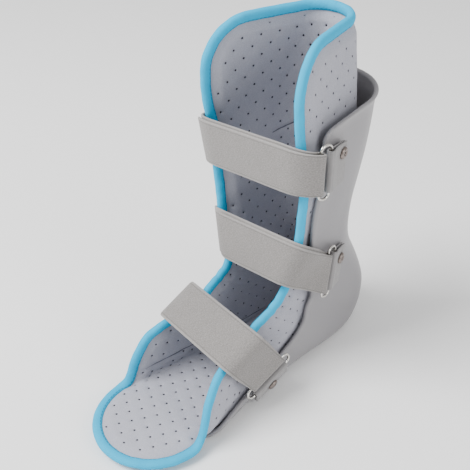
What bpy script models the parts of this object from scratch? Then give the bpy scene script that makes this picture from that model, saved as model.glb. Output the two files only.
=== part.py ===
"""Foot fracture brace: a moulded L-shaped shell, a padded liner with a bound edge, and three sets of
strap, wire ring, ring tab and rivets. Metres, +Z up. The sole stands on Z = 0, the toes point
to -Y, the rings are on the +X side, and the plane X = 0 halves the shell and the liner."""
import math

import bmesh
import bpy
import numpy as np
from mathutils import Matrix, Vector

# Overall sizes of the moulded form
LINER_HEIGHT = 0.309        # floor to the middle of the binding along the top
HEEL_REACH = 0.154          # origin to the back of the heel
TOE_REACH = 0.147           # origin to the middle of the binding at the toe
CALF_WIDTH = 0.102          # across the shell behind the calf wings
HEEL_WIDTH = 0.081          # across the heel cup
TOE_WIDTH = 0.096           # across the toe plate, between the middles of the binding
CALF_WING = 0.080           # straight side wing in front of the calf bend
ANKLE_WING = 0.130          # straight side wing above the heel
FOOT_WING = 0.060           # straight side wing beside the arch
TOE_ROUND = 0.0497          # length of the round end of the toe plate
TOP_CORNER = 0.038          # radius of the liner's upper front corners

# Walls and clearances
SHELL_WALL = 0.003
SHELL_TOP = 0.250           # floor to the shell's upper rim at the side
RIM_RISE = 0.003            # the rim stands this much higher at the back
SHELL_CORNER = 0.013        # radius of the shell's upper front corners
SHELL_TOE_MARGIN = 0.011    # the shell's toe ends this far behind the liner's
LIP_FLARE = 0.0022          # the rim turns out by this much
LIP_DEPTH = 0.012           # over this distance below the rim
LINER_WALL = 0.0075
LINER_GAP = 0.0008          # between the liner and the shell
BINDING_WIDTH = 0.0080      # across the round bound edge
TOUCH_GAP = 0.0003          # between pieces that lie against each other
EDGE_GAP = 0.0013           # between the liner's edge and its binding
WRAP_GAP = 0.0008           # between a strap or tab and what it is wrapped round
WIRE_GAP = 0.0005           # between a ring's wire and the layer folded round it

# Straps, rings, tabs and rivets
STRAP_WIDTH = 0.042
STRAP_WALL = 0.0022
LAYER_GAP = 0.0005          # between the two layers of a folded strap or tab
WIRE_RADIUS = 0.0014
RING_SLOT = 0.0120          # between the middles of the ring's long sides
RING_END = 0.0045           # how far the ring's round ends stand past the strap
RING_NARROW = 0.93          # a strap draws in to this share of its width in its ring
NARROW_RUN = 0.025          # over this length beside the ring
TAB_WALL = 0.0016
TAB_TAIL = 0.007            # webbing behind the tab's rivet
STRAP_TAIL = 0.010          # webbing behind the strap's rivet
RIVET_HEAD = 0.0100         # diameter
RIVET_DOME = 0.0022         # height of the head
RIVET_SHANK = 0.0040        # diameter
RIVET_FIT = 0.0003          # clearance round the shank
RIVET_FLUSH = 0.0002        # the shank ends this far inside the shell's inner face
HOLE_DEPTH = 0.026          # length of the cutter for a rivet's holes, three quarters inwards
HEAD_EDGE = 0.0004          # thickness of the rivet head at its edge
SEAT_MARGIN = 0.001         # a layer is straight this far beyond a rivet's head
CORNER_ROUND = 0.006        # radius of the strap's corners at its free end
EASE_RUN = 0.030            # a folded layer settles onto the one below over this length
TAPER_RUN = 0.035           # a strap's taper changes over this length in front of the fold

# Ribs of the form, from the top of the calf to the toe. Each rib is a plane through the back or
# sole line, and its half section is a flat, a bend of one radius and a straight wing:
# back and height: the rib's foot, as shares of the reach (heel or toe) and of LINER_HEIGHT;
# rake: the rib's rise towards the front, degrees; flat and radius: shares of half the zone's
# width; bend: how far the bend turns, degrees; wing: share of the zone's wing;
# shell: the share of the half section that the shell covers.
RIB_COLUMNS = ("zone", "back", "height", "rake", "flat", "radius", "bend", "wing", "shell")
RIBS = (
    ("calf", 0.880, 1.000, 0.0, 0.03, 0.87, 85.6, 1.015, 0.889),
    ("calf", 0.868, 0.809, 0.0, 0.03, 0.96, 82.7, 0.965, 0.902),
    ("calf", 0.844, 0.686, 0.0, 0.03, 0.94, 82.1, 0.827, 0.914),
    ("calf", 0.807, 0.576, 1.0, 0.03, 0.87, 82.5, 0.778, 0.933),
    ("calf", 0.776, 0.485, 2.3, 0.02, 0.82, 80.5, 0.751, 0.932),
    ("calf", 0.768, 0.414, 1.2, 0.02, 0.81, 83.1, 0.729, 0.896),
    ("calf", 0.798, 0.343, 2.2, 0.02, 0.79, 87.0, 0.775, 0.845),
    ("heel", 0.866, 0.285, 3.5, 0.04, 0.90, 88.5, 0.577, 0.786),
    ("heel", 0.928, 0.214, 10.2, 0.09, 0.86, 89.5, 0.716, 0.772),
    ("heel", 0.982, 0.129, 18.3, 0.10, 0.83, 88.9, 0.857, 0.767),
    ("heel", 0.976, 0.052, 25.3, 0.16, 0.69, 88.0, 0.992, 0.782),
    ("heel", 0.906, 0.008, 30.5, 0.30, 0.52, 87.1, 1.031, 0.754),
    ("heel", 0.767, 0.000, 34.0, 0.49, 0.45, 89.6, 0.939, 0.703),
    ("heel", 0.552, 0.000, 39.9, 0.56, 0.41, 90.2, 0.784, 0.652),
    ("heel", 0.292, 0.000, 49.4, 0.54, 0.41, 90.8, 0.577, 0.571),
    ("foot", 0.034, 0.000, 61.3, 0.53, 0.33, 90.9, 0.996, 0.552),
    ("foot", -0.204, 0.000, 73.8, 0.59, 0.33, 90.3, 0.809, 0.550),
    ("foot", -0.395, 0.000, 87.0, 0.70, 0.30, 91.6, 0.706, 0.552),
    ("foot", -0.463, 0.000, 90.0, 0.73, 0.31, 91.0, 0.609, 0.547),
    ("foot", -0.517, 0.000, 90.0, 0.75, 0.29, 88.0, 0.396, 0.573),
    ("foot", -0.544, 0.000, 90.0, 0.76, 0.28, 82.0, 0.161, 0.603),
    ("foot", -0.568, 0.000, 90.0, 0.77, 0.31, 69.6, 0.020, 0.680),
    ("foot", -0.592, 0.000, 90.0, 0.83, 0.31, 49.5, 0.020, 0.740),
    ("foot", -0.619, 0.000, 90.0, 0.865, 0.28, 28.6, 0.058, 0.770),
    ("foot", -0.667, 0.000, 90.0, 1.000, 0.29, 0.0, 0.000, 0.800),
    ("foot", -1.000, 0.000, 90.0, 1.000, 0.29, 0.0, 0.000, 0.800),
)

# Above the ankle the liner leaves the shell: forward of it (share of CALF_WIDTH), with a tighter
# bend (share of half of CALF_WIDTH) and wings that open wider (degrees), by height on the ribs.
LINER_COLUMNS = ("height", "forward", "tighter", "open")
LINER_TOP = (
    (0.48, 0.000, 0.00, 0.0),
    (0.58, 0.020, 0.00, 0.8),
    (0.69, 0.088, 0.04, 0.5),
    (0.81, 0.143, 0.12, 3.0),
    (1.00, 0.177, 0.25, 10.4),
)

# Straps. Each runs in a frame of three directions: x, the run (towards the back, falling by this
# many degrees) and the width (its top leaning back by this many degrees). back and up: where the
# run meets the fold at the ring, as shares of HEEL_REACH and LINER_HEIGHT; tab_run: the run of
# the tab behind the ring; skew: shift along the width per x; taper: wider above, per metre, at
# the ring and at the front; tab_rivet and strap_rivet: distances along the run behind the fold,
# of the tab's rivet and, on the far side, of the strap's own, rivet_up: the rivets' height on the
# width, and bow: extra arch at the front, all four as shares of STRAP_WIDTH; end: how far the
# strap's free end goes back on the far side, as a share of the way from the front to the fold.
STRAP_COLUMNS = ("name", "back", "up", "run", "tab_run", "width", "skew", "taper", "front_taper",
                 "tab_rivet", "end", "strap_rivet", "rivet_up", "bow")
STRAPS = (
    ("calf", 0.182, 0.6845, 12.0, 4.0, -7.0, 0.100, 1.5, 1.8, 0.57, 0.37, 0.81, 0.26, 0.024),
    ("ankle", 0.367, 0.3220, 32.5, 5.0, 6.5, 0.075, 0.0, 6.0, 0.43, 0.01, 0.43, 0.19, 0.024),
    ("instep", -0.0585, 0.1133, 55.0, 68.0, 70.0, -0.088, 0.5, 0.5, 0.43, 0.13, 0.285, 0.0, 0.024),
)

# How finely the forms are divided
STATION_STEP = 0.019        # longest step along the spine
STATION_LEAST = 0.002       # shortest, beside a corner
SHELL_COLUMNS = 7           # across half of the shell, spaced by length and by turn:
COLUMN_STEP = 0.030
COLUMN_TURN = math.radians(14)
WING_COLUMNS = 1            # across the liner's wing beyond the shell
WING_LEAST = 0.003          # narrowest of these
CORNER_STEPS = 5            # round each upper corner
TOE_STEPS = 6               # round half of the toe
TOE_END = math.radians(80)  # the toe's round stops here and closes with a short straight
NORMAL_REACH = 0.004        # the normals are taken over this much of the spine, so they run smoothly
BINDING_STEPS = 92
WIRE_STEPS = 6
FOLD_STEPS = 6
RUN_STEP = 0.013            # longest step along a strap
RUN_LEAST = 0.0012          # shortest
# Directions of the lines a strap is wrapped along, from the near side round to the front
WRAP_ANGLES = (24, 16, 10, 5, 0, -5, -15, -30, -45, -60, -75)
WRAP_BACK = 0.008           # and over the brace as far as this behind its tab
RIVET_SIDES = 10

MATERIALS = {
    "moulded_shell": ((0.36, 0.35, 0.36, 1.0), 0.42, 0.0),
    "padded_liner": ((0.40, 0.41, 0.46, 1.0), 0.95, 0.0),
    "edge_binding": ((0.12, 0.60, 0.80, 1.0), 0.75, 0.0),
    "strap_fabric": ((0.33, 0.32, 0.31, 1.0), 0.95, 0.0),
    "tab_webbing": ((0.36, 0.35, 0.35, 1.0), 0.80, 0.0),
    "ring_wire": ((0.80, 0.80, 0.80, 1.0), 0.15, 1.0),
    "rivet_metal": ((0.45, 0.40, 0.38, 1.0), 0.35, 1.0),
}


def strap_rows():
    """The straps with their lengths in metres."""
    straps = [dict(zip(STRAP_COLUMNS, row)) for row in STRAPS]
    for strap in straps:
        strap["back"] *= HEEL_REACH
        strap["up"] *= LINER_HEIGHT
        for length in ("tab_rivet", "strap_rivet", "rivet_up", "bow"):
            strap[length] *= STRAP_WIDTH
    return straps


def smooth(places, values, at):
    """Cubic curve through a column that never passes beyond its rows, so flats stay flat."""
    step = np.diff(places)
    rise = np.diff(values) / step
    slope = np.zeros(len(values))
    near, far = rise[:-1], rise[1:]
    same = near * far > 0
    first = (2 * step[1:] + step[:-1])[same]
    second = (step[1:] + 2 * step[:-1])[same]
    slope[1:-1][same] = (first + second) / (first / near[same] + second / far[same])
    slope[0], slope[-1] = rise[0], rise[-1]
    cell = np.clip(np.searchsorted(places, at) - 1, 0, len(step) - 1)
    length = step[cell]
    t = np.clip((at - places[cell]) / length, 0.0, 1.0)
    return (values[cell] * (1 + 2 * t) * (1 - t) ** 2 + values[cell + 1] * (3 - 2 * t) * t ** 2
            + length * t * (1 - t) * (slope[cell] * (1 - t) - slope[cell + 1] * t))


def rib_table():
    """The ribs in metres and radians, with their places along the spine."""
    rows = {name: [row[i] for row in RIBS] for i, name in enumerate(RIB_COLUMNS)}
    widths = {"calf": CALF_WIDTH, "heel": HEEL_WIDTH, "foot": TOE_WIDTH}
    wings = {"calf": CALF_WING, "heel": ANKLE_WING, "foot": FOOT_WING}
    half = np.array([widths[zone] / 2 for zone in rows["zone"]])
    wing = np.array([wings[zone] for zone in rows["zone"]])
    back = np.array(rows["back"])
    table = {
        "y": np.where(back > 0, back * HEEL_REACH, back * TOE_REACH),
        "z": np.array(rows["height"]) * LINER_HEIGHT,
        "rake": np.radians(rows["rake"]),
        "flat": np.array(rows["flat"]) * half,
        "radius": np.array(rows["radius"]) * half,
        "bend": np.radians(rows["bend"]),
        "wing": np.array(rows["wing"]) * wing,
        "shell": np.array(rows["shell"]),
    }
    steps = np.hypot(np.diff(table["y"]), np.diff(table["z"]))
    table["spine"] = np.concatenate([[0.0], np.cumsum(steps)])
    return table


TABLE = rib_table()
SPINE_END = TABLE["spine"][-1]
TOE_START = SPINE_END - TOE_ROUND
LINER_INSET = SHELL_WALL + LINER_GAP
MIDDLE_INSET = LINER_INSET + LINER_WALL / 2


def ribs_at(s):
    """The shell's ribs at spine distances s."""
    s = np.asarray(s, float)
    return {name: smooth(TABLE["spine"], TABLE[name], s) for name in TABLE if name != "spine"}


def liner_ribs_at(s):
    """The liner's ribs: the shell's, moved forward, tightened and opened above the ankle."""
    ribs = ribs_at(s)
    rows = {name: np.array([row[i] for row in LINER_TOP]) for i, name in enumerate(LINER_COLUMNS)}
    height = np.clip(ribs["z"] / LINER_HEIGHT, rows["height"][0], 1.0)
    forward = smooth(rows["height"], rows["forward"], height) * CALF_WIDTH
    tighter = smooth(rows["height"], rows["tighter"], height) * CALF_WIDTH / 2
    opened = np.radians(smooth(rows["height"], rows["open"], height))
    depth = ribs["radius"] * (1 - np.cos(ribs["bend"])) + ribs["wing"] * np.sin(ribs["bend"])
    ribs["y"] = ribs["y"] - forward * np.cos(ribs["rake"])
    ribs["z"] = ribs["z"] + forward * np.sin(ribs["rake"])
    ribs["radius"] = ribs["radius"] - tighter
    ribs["bend"] = ribs["bend"] - opened
    bend_depth = ribs["radius"] * (1 - np.cos(ribs["bend"]))
    changed = forward > 0
    slant = np.where(changed, np.sin(ribs["bend"]), 1.0)
    ribs["wing"] = np.where(changed, (depth - forward - bend_depth) / slant, ribs["wing"])
    return ribs


def girth(ribs):
    """Length of half a section, from the middle to the wing's edge."""
    return ribs["flat"] + ribs["radius"] * ribs["bend"] + ribs["wing"]


def form(ribs, p):
    """Points at the signed distances p along the sections: a flat, a bend and a straight wing."""
    reach = np.abs(p)
    turn = np.clip((reach - ribs["flat"]) / ribs["radius"], 0.0, ribs["bend"])
    rest = np.maximum(reach - ribs["flat"] - ribs["radius"] * ribs["bend"], 0.0)
    across = (np.minimum(reach, ribs["flat"]) + ribs["radius"] * np.sin(turn)
              + rest * np.cos(ribs["bend"]))
    depth = ribs["radius"] * (1 - np.cos(turn)) + rest * np.sin(ribs["bend"])
    return np.stack([np.sign(p) * across,
                     ribs["y"] - depth * np.cos(ribs["rake"]),
                     ribs["z"] + depth * np.sin(ribs["rake"])], axis=-1)


def surface(rib_rule, s, p, inset):
    """The form at spine distances s and section distances p, moved inwards by inset."""
    s, p, inset = np.broadcast_arrays(s, p, inset)
    along = form(rib_rule(np.minimum(s + NORMAL_REACH, SPINE_END)), p)
    along = along - form(rib_rule(np.maximum(s - NORMAL_REACH, 0.0)), p)
    small = 0.0002
    ribs = rib_rule(s)
    across = form(ribs, p + small) - form(ribs, p - small)
    outward = np.cross(across, along)
    outward = outward / np.linalg.norm(outward, axis=-1, keepdims=True)
    return form(ribs, p) - outward * inset[..., None]


def corner_steps(radius, count):
    """Spine distances round a corner: from its tip, where the edge runs across, to its end."""
    return radius * (1 - np.sin(np.linspace(math.pi / 2, 0.0, count + 1)))


def stations():
    """Spine distances of the liner's sections: close round the corners and at each rib."""
    rows = TABLE["spine"]
    top = corner_steps(TOP_CORNER, CORNER_STEPS)
    toe = TOE_START + TOE_ROUND * np.sin(np.linspace(0.0, TOE_END, TOE_STEPS + 1))
    marks = [TOP_CORNER] + [s for s in rows if TOP_CORNER < s < TOE_START - STATION_LEAST] + [TOE_START]
    body = []
    for start, end in zip(marks[:-1], marks[1:]):
        count = max(1, math.ceil((end - start) / STATION_STEP))
        body.extend(np.linspace(start, end, count + 1)[:-1])
    return np.concatenate([top[:-1], body, toe])


def liner_outline(s):
    """Section length to the liner's bound edge, round its upper corners and its toe."""
    length = girth(liner_ribs_at(s))
    rise = np.clip(TOP_CORNER - s, 0.0, TOP_CORNER)
    length = length - (TOP_CORNER - np.sqrt(TOP_CORNER ** 2 - rise ** 2))
    run = np.clip((s - TOE_START) / TOE_ROUND, 0.0, 1.0)
    return length * np.sqrt(1 - run ** 2)


def clear_margin(s, length, margin):
    """How far each row stops short of the bound edge to stay clear of it by margin, where the
    edge runs askew to the rows."""
    if margin == 0:
        return np.zeros_like(s)
    loop = bound_edge()
    loop = np.concatenate([loop, loop[:1]])
    start, step = loop[:-1], np.diff(loop, axis=0)
    short = np.arange(0.0, 5 * margin + 0.0001, 0.0004)
    clear = np.full((len(s), len(short)), math.inf)
    for inset in (LINER_INSET, MIDDLE_INSET, LINER_INSET + LINER_WALL):
        spots = surface(liner_ribs_at, s[:, None], length[:, None] - short, inset)
        offset = spots[:, :, None] - start
        share = np.clip((offset * step).sum(-1) / (step ** 2).sum(-1), 0.0, 1.0)
        gap = np.linalg.norm(offset - share[..., None] * step, axis=-1).min(axis=-1)
        clear = np.minimum(clear, gap)
    return short[np.argmax(clear >= margin - 0.0001, axis=1)]


def liner_rows(margin):
    """Spine and section distances of the liner's rows, drawn in from the bound edge by margin."""
    s = stations()
    length = liner_outline(s)
    edge_p = length - clear_margin(s, length, margin)
    upper = s < TOP_CORNER
    toe = s > TOE_START
    shrink_top = (TOP_CORNER - margin) / TOP_CORNER
    shrink_toe = (TOE_ROUND - margin) / TOE_ROUND
    middle_s = s.copy()
    middle_s[upper] = margin + s[upper] * shrink_top
    middle_s[toe] = TOE_START + (s[toe] - TOE_START) * shrink_toe
    corner = girth(liner_ribs_at(s)) - length
    edge_p[upper] = length[upper] + corner[upper] * (1 - shrink_top) - margin
    edge_p[toe] = length[toe] * (liner_outline(TOE_START) - margin) / liner_outline(TOE_START)
    return middle_s, edge_p


def shell_share(s):
    """Share of a section that the shell covers."""
    return ribs_at(s)["shell"]


def columns(ribs, end):
    """Section distances from the middle to end, closer together round the bend."""
    bend = ribs["radius"] * ribs["bend"]
    places = np.stack([np.zeros_like(end), np.minimum(ribs["flat"], end),
                       np.minimum(ribs["flat"] + bend, end), end], axis=1)
    weight = np.diff(places, axis=1) / COLUMN_STEP
    weight[:, 1] += weight[:, 1] * COLUMN_STEP / ribs["radius"] / COLUMN_TURN
    count = np.concatenate([np.zeros((len(end), 1)), np.cumsum(weight, axis=1)], axis=1)
    shares = np.linspace(0.0, 1.0, SHELL_COLUMNS + 1)
    return np.array([np.interp(shares * row[-1], row, place)
                     for row, place in zip(count, places)])


def liner_grid(inset):
    """The liner as a grid, rows down the spine and columns across, at a distance inwards."""
    margin = BINDING_WIDTH / 2 + EDGE_GAP
    middle_s, edge_p = liner_rows(margin)
    covered = np.minimum(shell_share(middle_s) * liner_outline(middle_s), edge_p - WING_LEAST)
    inner = columns(liner_ribs_at(middle_s), covered)
    share = np.linspace(0.0, 1.0, WING_COLUMNS + 1)[1:]
    outer = covered[:, None] + (edge_p - covered)[:, None] * share
    half = np.concatenate([inner, outer], axis=1)
    p = np.concatenate([-half[:, :0:-1], half], axis=1)
    return surface(liner_ribs_at, middle_s[:, None], p, inset)


def shell_grid(depth=0.0):
    """The shell's outer face, or the face at a depth within it, with its turned-out rim."""
    rim = np.interp(-SHELL_TOP, -TABLE["z"][:12], TABLE["spine"][:12])
    toe_end = SPINE_END - SHELL_TOE_MARGIN
    corner = rim + corner_steps(SHELL_CORNER, CORNER_STEPS - 1)
    body = stations()
    body = body[(body > corner[-1] + STATION_STEP / 3) & (body < toe_end - STATION_LEAST)]
    s = np.concatenate([corner, body, [toe_end]])
    run = np.clip((s - TOE_START) / TOE_ROUND, 0.0, 1.0)
    edge = shell_share(s) * girth(ribs_at(s)) * np.sqrt(1 - run ** 2)
    rise = np.clip(SHELL_CORNER - (s - rim), 0.0, SHELL_CORNER)
    edge = edge - (SHELL_CORNER - np.sqrt(SHELL_CORNER ** 2 - rise ** 2))
    half = columns(ribs_at(s), edge)
    p = np.concatenate([-half[:, :0:-1], half], axis=1)
    q = p / edge[:, None]
    below = (s - rim)[:, None]
    fade = np.clip(1 - below / (4 * SHELL_CORNER), 0.0, 1.0)
    raised = s[:, None] - RIM_RISE * fade * (1 - q ** 2)
    flare = LIP_FLARE * np.clip(1 - below / LIP_DEPTH, 0.0, 1.0) ** 2
    return surface(ribs_at, raised, p, depth - flare)


def bound_edge():
    """Points evenly spaced round the liner's whole edge, in the middle of its thickness."""
    edge_s, edge_p = liner_rows(0.0)
    ends = np.linspace(-1.0, 1.0, 2 * (SHELL_COLUMNS + WING_COLUMNS) + 1)[1:-1]
    s = np.concatenate([np.full(len(ends), edge_s[0]), edge_s,
                        np.full(len(ends), edge_s[-1]), edge_s[::-1]])
    p = np.concatenate([ends * edge_p[0], edge_p, -ends * edge_p[-1], -edge_p[::-1]])
    loop = surface(liner_ribs_at, s, p, MIDDLE_INSET)
    loop = np.concatenate([loop, loop[:1]])
    length = np.concatenate([[0.0], np.cumsum(np.linalg.norm(np.diff(loop, axis=0), axis=1))])
    even = np.linspace(0.0, length[-1], BINDING_STEPS + 1)[:-1]
    return np.stack([np.interp(even, length, loop[:, axis]) for axis in range(3)], axis=1)


def finer(grid, count=4):
    """The grid with points added along its cells' sides, rows and both diagonals, as one list."""
    share = (np.arange(count) / count)[:, None, None, None]
    falling = grid[:-1, :-1] * (1 - share) + grid[1:, 1:] * share
    rising = grid[1:, :-1] * (1 - share) + grid[:-1, 1:] * share
    down = np.concatenate(list(grid[:-1] * (1 - share) + grid[1:] * share) + [grid[-1:]])
    across = np.concatenate(list(down[:, :-1] * (1 - share) + down[:, 1:] * share)
                            + [down[:, -1:]], axis=1)
    return np.concatenate([points.reshape(-1, 3) for points in (falling, rising, across)])


class Wrap:
    """The way a strap takes round the brace, as the tight polygon of lines round the slice that
    it crosses. Places on it are counted in corners, from the far side's back to the near side's."""

    def __init__(self, strap, run, body):
        run, width = math.radians(run), math.radians(strap["width"])
        self.origin = np.array([0.0, strap["back"], strap["up"]])
        self.along = np.array([0.0, math.cos(run), -math.sin(run)])
        self.across = np.array([0.0, math.sin(width), math.cos(width)])
        self.side = np.array([1.0, 0.0, 0.0]) + strap["skew"] * self.across
        self.taper = np.array([strap["front_taper"], strap["taper"]])
        self.skewed = 1 / math.cos(run - width)
        basis = np.stack([self.side, self.along, self.across], axis=1)
        x, t, w = np.linalg.solve(basis, (body - self.origin).T)
        reach = STRAP_WIDTH / 2 + RING_END + WIRE_RADIUS
        slice_ = (np.abs(w) < reach) & (t < strap["tab_rivet"] + TAB_TAIL + WRAP_BACK)
        points = np.stack([x / (1 + self.widening(t) * w), t], axis=1)[slice_]
        near = np.radians(np.array(WRAP_ANGLES[::-1], float))
        angles = np.concatenate([-math.pi - near[::-1], [-math.pi / 2], near])
        self.normals = np.stack([np.cos(angles), np.sin(angles)], axis=1)
        self.reach = (points @ self.normals.T).max(axis=0)
        depth = self.reach[len(near)] + strap["bow"]
        sides = self.reach[np.abs(np.sin(angles)) < 1e-9]
        half = np.where(np.cos(angles) > 0, sides[-1], sides[0])
        arch = np.hypot(half * np.cos(angles), depth * np.sin(angles))
        front = np.sin(angles) < -1e-9
        self.reach = np.where(front, np.maximum(self.reach, arch), self.reach)
        self.middle = len(near) - 0.5

    def widening(self, t):
        """The taper at t: that of the front, turning smoothly to the ring's."""
        share = np.clip(1 + t / TAPER_RUN, 0.0, 1.0)
        return self.taper[0] + (self.taper[1] - self.taper[0]) * share ** 2 * (3 - 2 * share)

    def corners(self, offset):
        """The polygon's corners, moved out by offset."""
        normals, reach = self.normals, self.reach + offset
        turn = normals[:-1, 0] * normals[1:, 1] - normals[:-1, 1] * normals[1:, 0]
        x = (reach[:-1] * normals[1:, 1] - reach[1:] * normals[:-1, 1]) / turn
        t = (reach[1:] * normals[:-1, 0] - reach[:-1] * normals[1:, 0]) / turn
        return np.stack([x, t], axis=1)

    def front(self, offset):
        """How far forward the way reaches."""
        return self.corners(offset)[:, 1].min()

    def at(self, place, offset):
        """Point at a place on the way, moved out by offset."""
        corners = self.corners(offset)
        index = min(max(int(place), 0), len(corners) - 2)
        return corners[index] + (corners[index + 1] - corners[index]) * (place - index)

    def place(self, side, t, offset):
        """Place where the way passes t on the near (1) or far (-1) side."""
        corners = self.corners(offset)
        count = len(corners)
        order = range(count - 1, 0, -1) if side > 0 else range(count - 1)
        for index in order:
            first, second = (index - 1, index) if side > 0 else (index, index + 1)
            low, high = corners[first][1], corners[second][1]
            if (low - t) * (high - t) <= 0 and low != high:
                return first + (t - low) / (high - low)
        return count - 1.0 if side > 0 else 0.0

    def places(self, start, end, offset):
        """Places from start to end: both, the corners between them, and steps on long stretches."""
        marks = [start]
        last = self.at(end, offset)
        for corner in range(math.ceil(start), math.floor(end) + 1):
            spot = self.at(corner, offset)
            before = self.at(marks[-1], offset)
            if min(np.linalg.norm(spot - before), np.linalg.norm(spot - last)) > RUN_LEAST:
                marks.append(float(corner))
        marks.append(end)
        result = [start]
        for low, high in zip(marks[:-1], marks[1:]):
            length = np.linalg.norm(self.at(high, offset) - self.at(low, offset))
            count = max(1, math.ceil(length / RUN_STEP))
            result.extend(low + (high - low) * (k + 1) / count for k in range(count))
        return result

    def point(self, spot, w):
        """A point of the slice's plane (x, t), at w across the strap."""
        return (self.origin + self.side * spot[0] * (1 + self.widening(spot[1]) * w)
                + self.along * spot[1] + self.across * w)


def fold(centre, first, radius):
    """Half a turn about a centre, from the direction first round to its opposite."""
    start = math.atan2(first[1], first[0])
    return [centre + radius * np.array([math.cos(start - a), math.sin(start - a)])
            for a in np.linspace(0.0, math.pi, FOLD_STEPS + 1)]


def band(wrap, path, half_width, ends, ring=None):
    """A strap's middle surface along a path, drawn in at its ring, with rounded ends."""
    rows = []
    lengths = np.concatenate([[0.0], np.cumsum(np.linalg.norm(np.diff(path, axis=0), axis=1))])
    for spot, length in zip(path, lengths):
        share = 1.0
        if ring is not None:
            away = max(0.0, np.linalg.norm(spot - ring) - 2 * WIRE_RADIUS - STRAP_WALL)
            share -= (1 - RING_NARROW) * max(0.0, 1 - away / NARROW_RUN)
        for rounded, edge in zip(ends, (length, lengths[-1] - length)):
            if rounded and edge < CORNER_ROUND:
                drop = CORNER_ROUND - math.sqrt(CORNER_ROUND ** 2 - (CORNER_ROUND - edge) ** 2)
                share = min(share, 1 - drop / half_width)
        rows.append([wrap.point(spot, share * half_width * side) for side in (-1.0, 1.0)])
    return np.array(rows)


def eased_ends(path, ends):
    """The path with extra points in its rounded ends."""
    path = list(path)
    marks = (0.25 * CORNER_ROUND, CORNER_ROUND)
    for end in (0, 1):
        if ends[end]:
            if end:
                path.reverse()
            step = path[1] - path[0]
            extra = [path[0] + step / np.linalg.norm(step) * mark for mark in marks
                     if mark < np.linalg.norm(step) - 0.001]
            path = path[:1] + extra + path[1:]
            if end:
                path.reverse()
    return np.array(path)


def seated(path, t):
    """The path with a straight stretch round t on its first pass there, as a seat for a rivet, and
    the seat's middle and outward normal."""
    path = np.array(path)
    heights = path[:, 1]
    passes = [i for i in range(len(path) - 1)
              if (heights[i] - t) * (heights[i + 1] - t) <= 0 and heights[i] != heights[i + 1]]
    cross = passes[0]
    share = (t - heights[cross]) / (heights[cross + 1] - heights[cross])
    length = np.concatenate([[0.0], np.cumsum(np.linalg.norm(np.diff(path, axis=0), axis=1))])
    middle = length[cross] + share * (length[cross + 1] - length[cross])
    reach = RIVET_HEAD / 2 + SEAT_MARGIN
    ends = [np.array([np.interp(middle + side * reach, length, path[:, axis]) for axis in (0, 1)])
            for side in (-1, 1)]
    before = [spot for spot, at in zip(path, length) if at < middle - reach - SEAT_MARGIN / 2]
    after = [spot for spot, at in zip(path, length) if at > middle + reach + SEAT_MARGIN / 2]
    centre = (ends[0] + ends[1]) / 2
    step = ends[1] - ends[0]
    normal = np.array([step[1], -step[0]]) / np.linalg.norm(step)
    return before + ends + after, (centre, normal * np.sign(normal[0] * centre[0]))


def strap_path(wrap, strap):
    """From the far rivet round the front, round the ring's wire and back to the free end."""
    inner = WRAP_GAP + STRAP_WALL / 2
    outer = inner + STRAP_WALL + LAYER_GAP
    turn = (WIRE_RADIUS + WIRE_GAP + STRAP_WALL / 2) * wrap.skewed
    wire_t = -turn - STRAP_WALL / 2
    start = wrap.place(-1, strap["strap_rivet"] + STRAP_TAIL, inner)
    ring = wrap.place(1, wire_t, inner + turn)
    end = wrap.place(-1, wrap.front(outer) * (1 - strap["end"]), outer)
    under = [wrap.at(place, inner) for place in wrap.places(start, ring, inner)]
    centre = wrap.at(ring, inner + turn)
    inward = under[-1] - centre
    loop = fold(centre, inward, np.linalg.norm(inward))
    over = []
    places = wrap.places(end, ring, outer)[::-1]
    length, last = 0.0, wrap.at(ring, outer)
    for place in places:
        spot = wrap.at(place, outer)
        length += np.linalg.norm(spot - last)
        last = spot
        lift = (2 * turn - STRAP_WALL - LAYER_GAP) * (1 - min(length / EASE_RUN, 1.0)) ** 2
        over.append(wrap.at(place, outer + lift))
    under, rivet_seat = seated(under, strap["strap_rivet"])
    return under + loop[1:-1] + over, centre, rivet_seat


def tab_path(wrap, strap):
    """A webbing loop: from behind its rivet, round the ring's rear wire and back again."""
    inner = WRAP_GAP + TAB_WALL / 2
    outer = inner + TAB_WALL + LAYER_GAP
    turn = (WIRE_RADIUS + WIRE_GAP + TAB_WALL / 2) * wrap.skewed
    fold_out = STRAP_WALL + WIRE_GAP + WIRE_RADIUS
    ring = wrap.place(1, RING_SLOT - fold_out, inner + turn)
    back = wrap.place(1, strap["tab_rivet"] + TAB_TAIL, outer)
    places = wrap.places(ring, back, outer)
    ease = min(EASE_RUN, strap["tab_rivet"] - RING_SLOT + fold_out)
    centre = wrap.at(ring, inner + turn)
    over, length, last = [], 0.0, wrap.at(ring, outer)
    for place in places:
        spot = wrap.at(place, outer)
        length += np.linalg.norm(spot - last)
        last = spot
        lift = (2 * turn - TAB_WALL - LAYER_GAP) * (1 - min(length / ease, 1.0)) ** 2
        over.append(wrap.at(place, outer + lift))
    under = [wrap.at(place, inner) for place in places]
    outward = over[0] - centre
    loop = fold(centre, outward, np.linalg.norm(outward))
    over, rivet_seat = seated(over, strap["tab_rivet"])
    under = seated(under, strap["tab_rivet"])[0]
    return over[::-1] + loop[1:-1] + under, centre, rivet_seat


def material(name):
    """A plain material with one of the part's colours."""
    found = bpy.data.materials.get(name)
    if found:
        return found
    colour, roughness, metallic = MATERIALS[name]
    made = bpy.data.materials.new(name)
    made.use_nodes = True
    shader = made.node_tree.nodes["Principled BSDF"]
    shader.inputs["Base Color"].default_value = colour
    shader.inputs["Roughness"].default_value = roughness
    shader.inputs["Metallic"].default_value = metallic
    made.diffuse_color = colour
    return made


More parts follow.
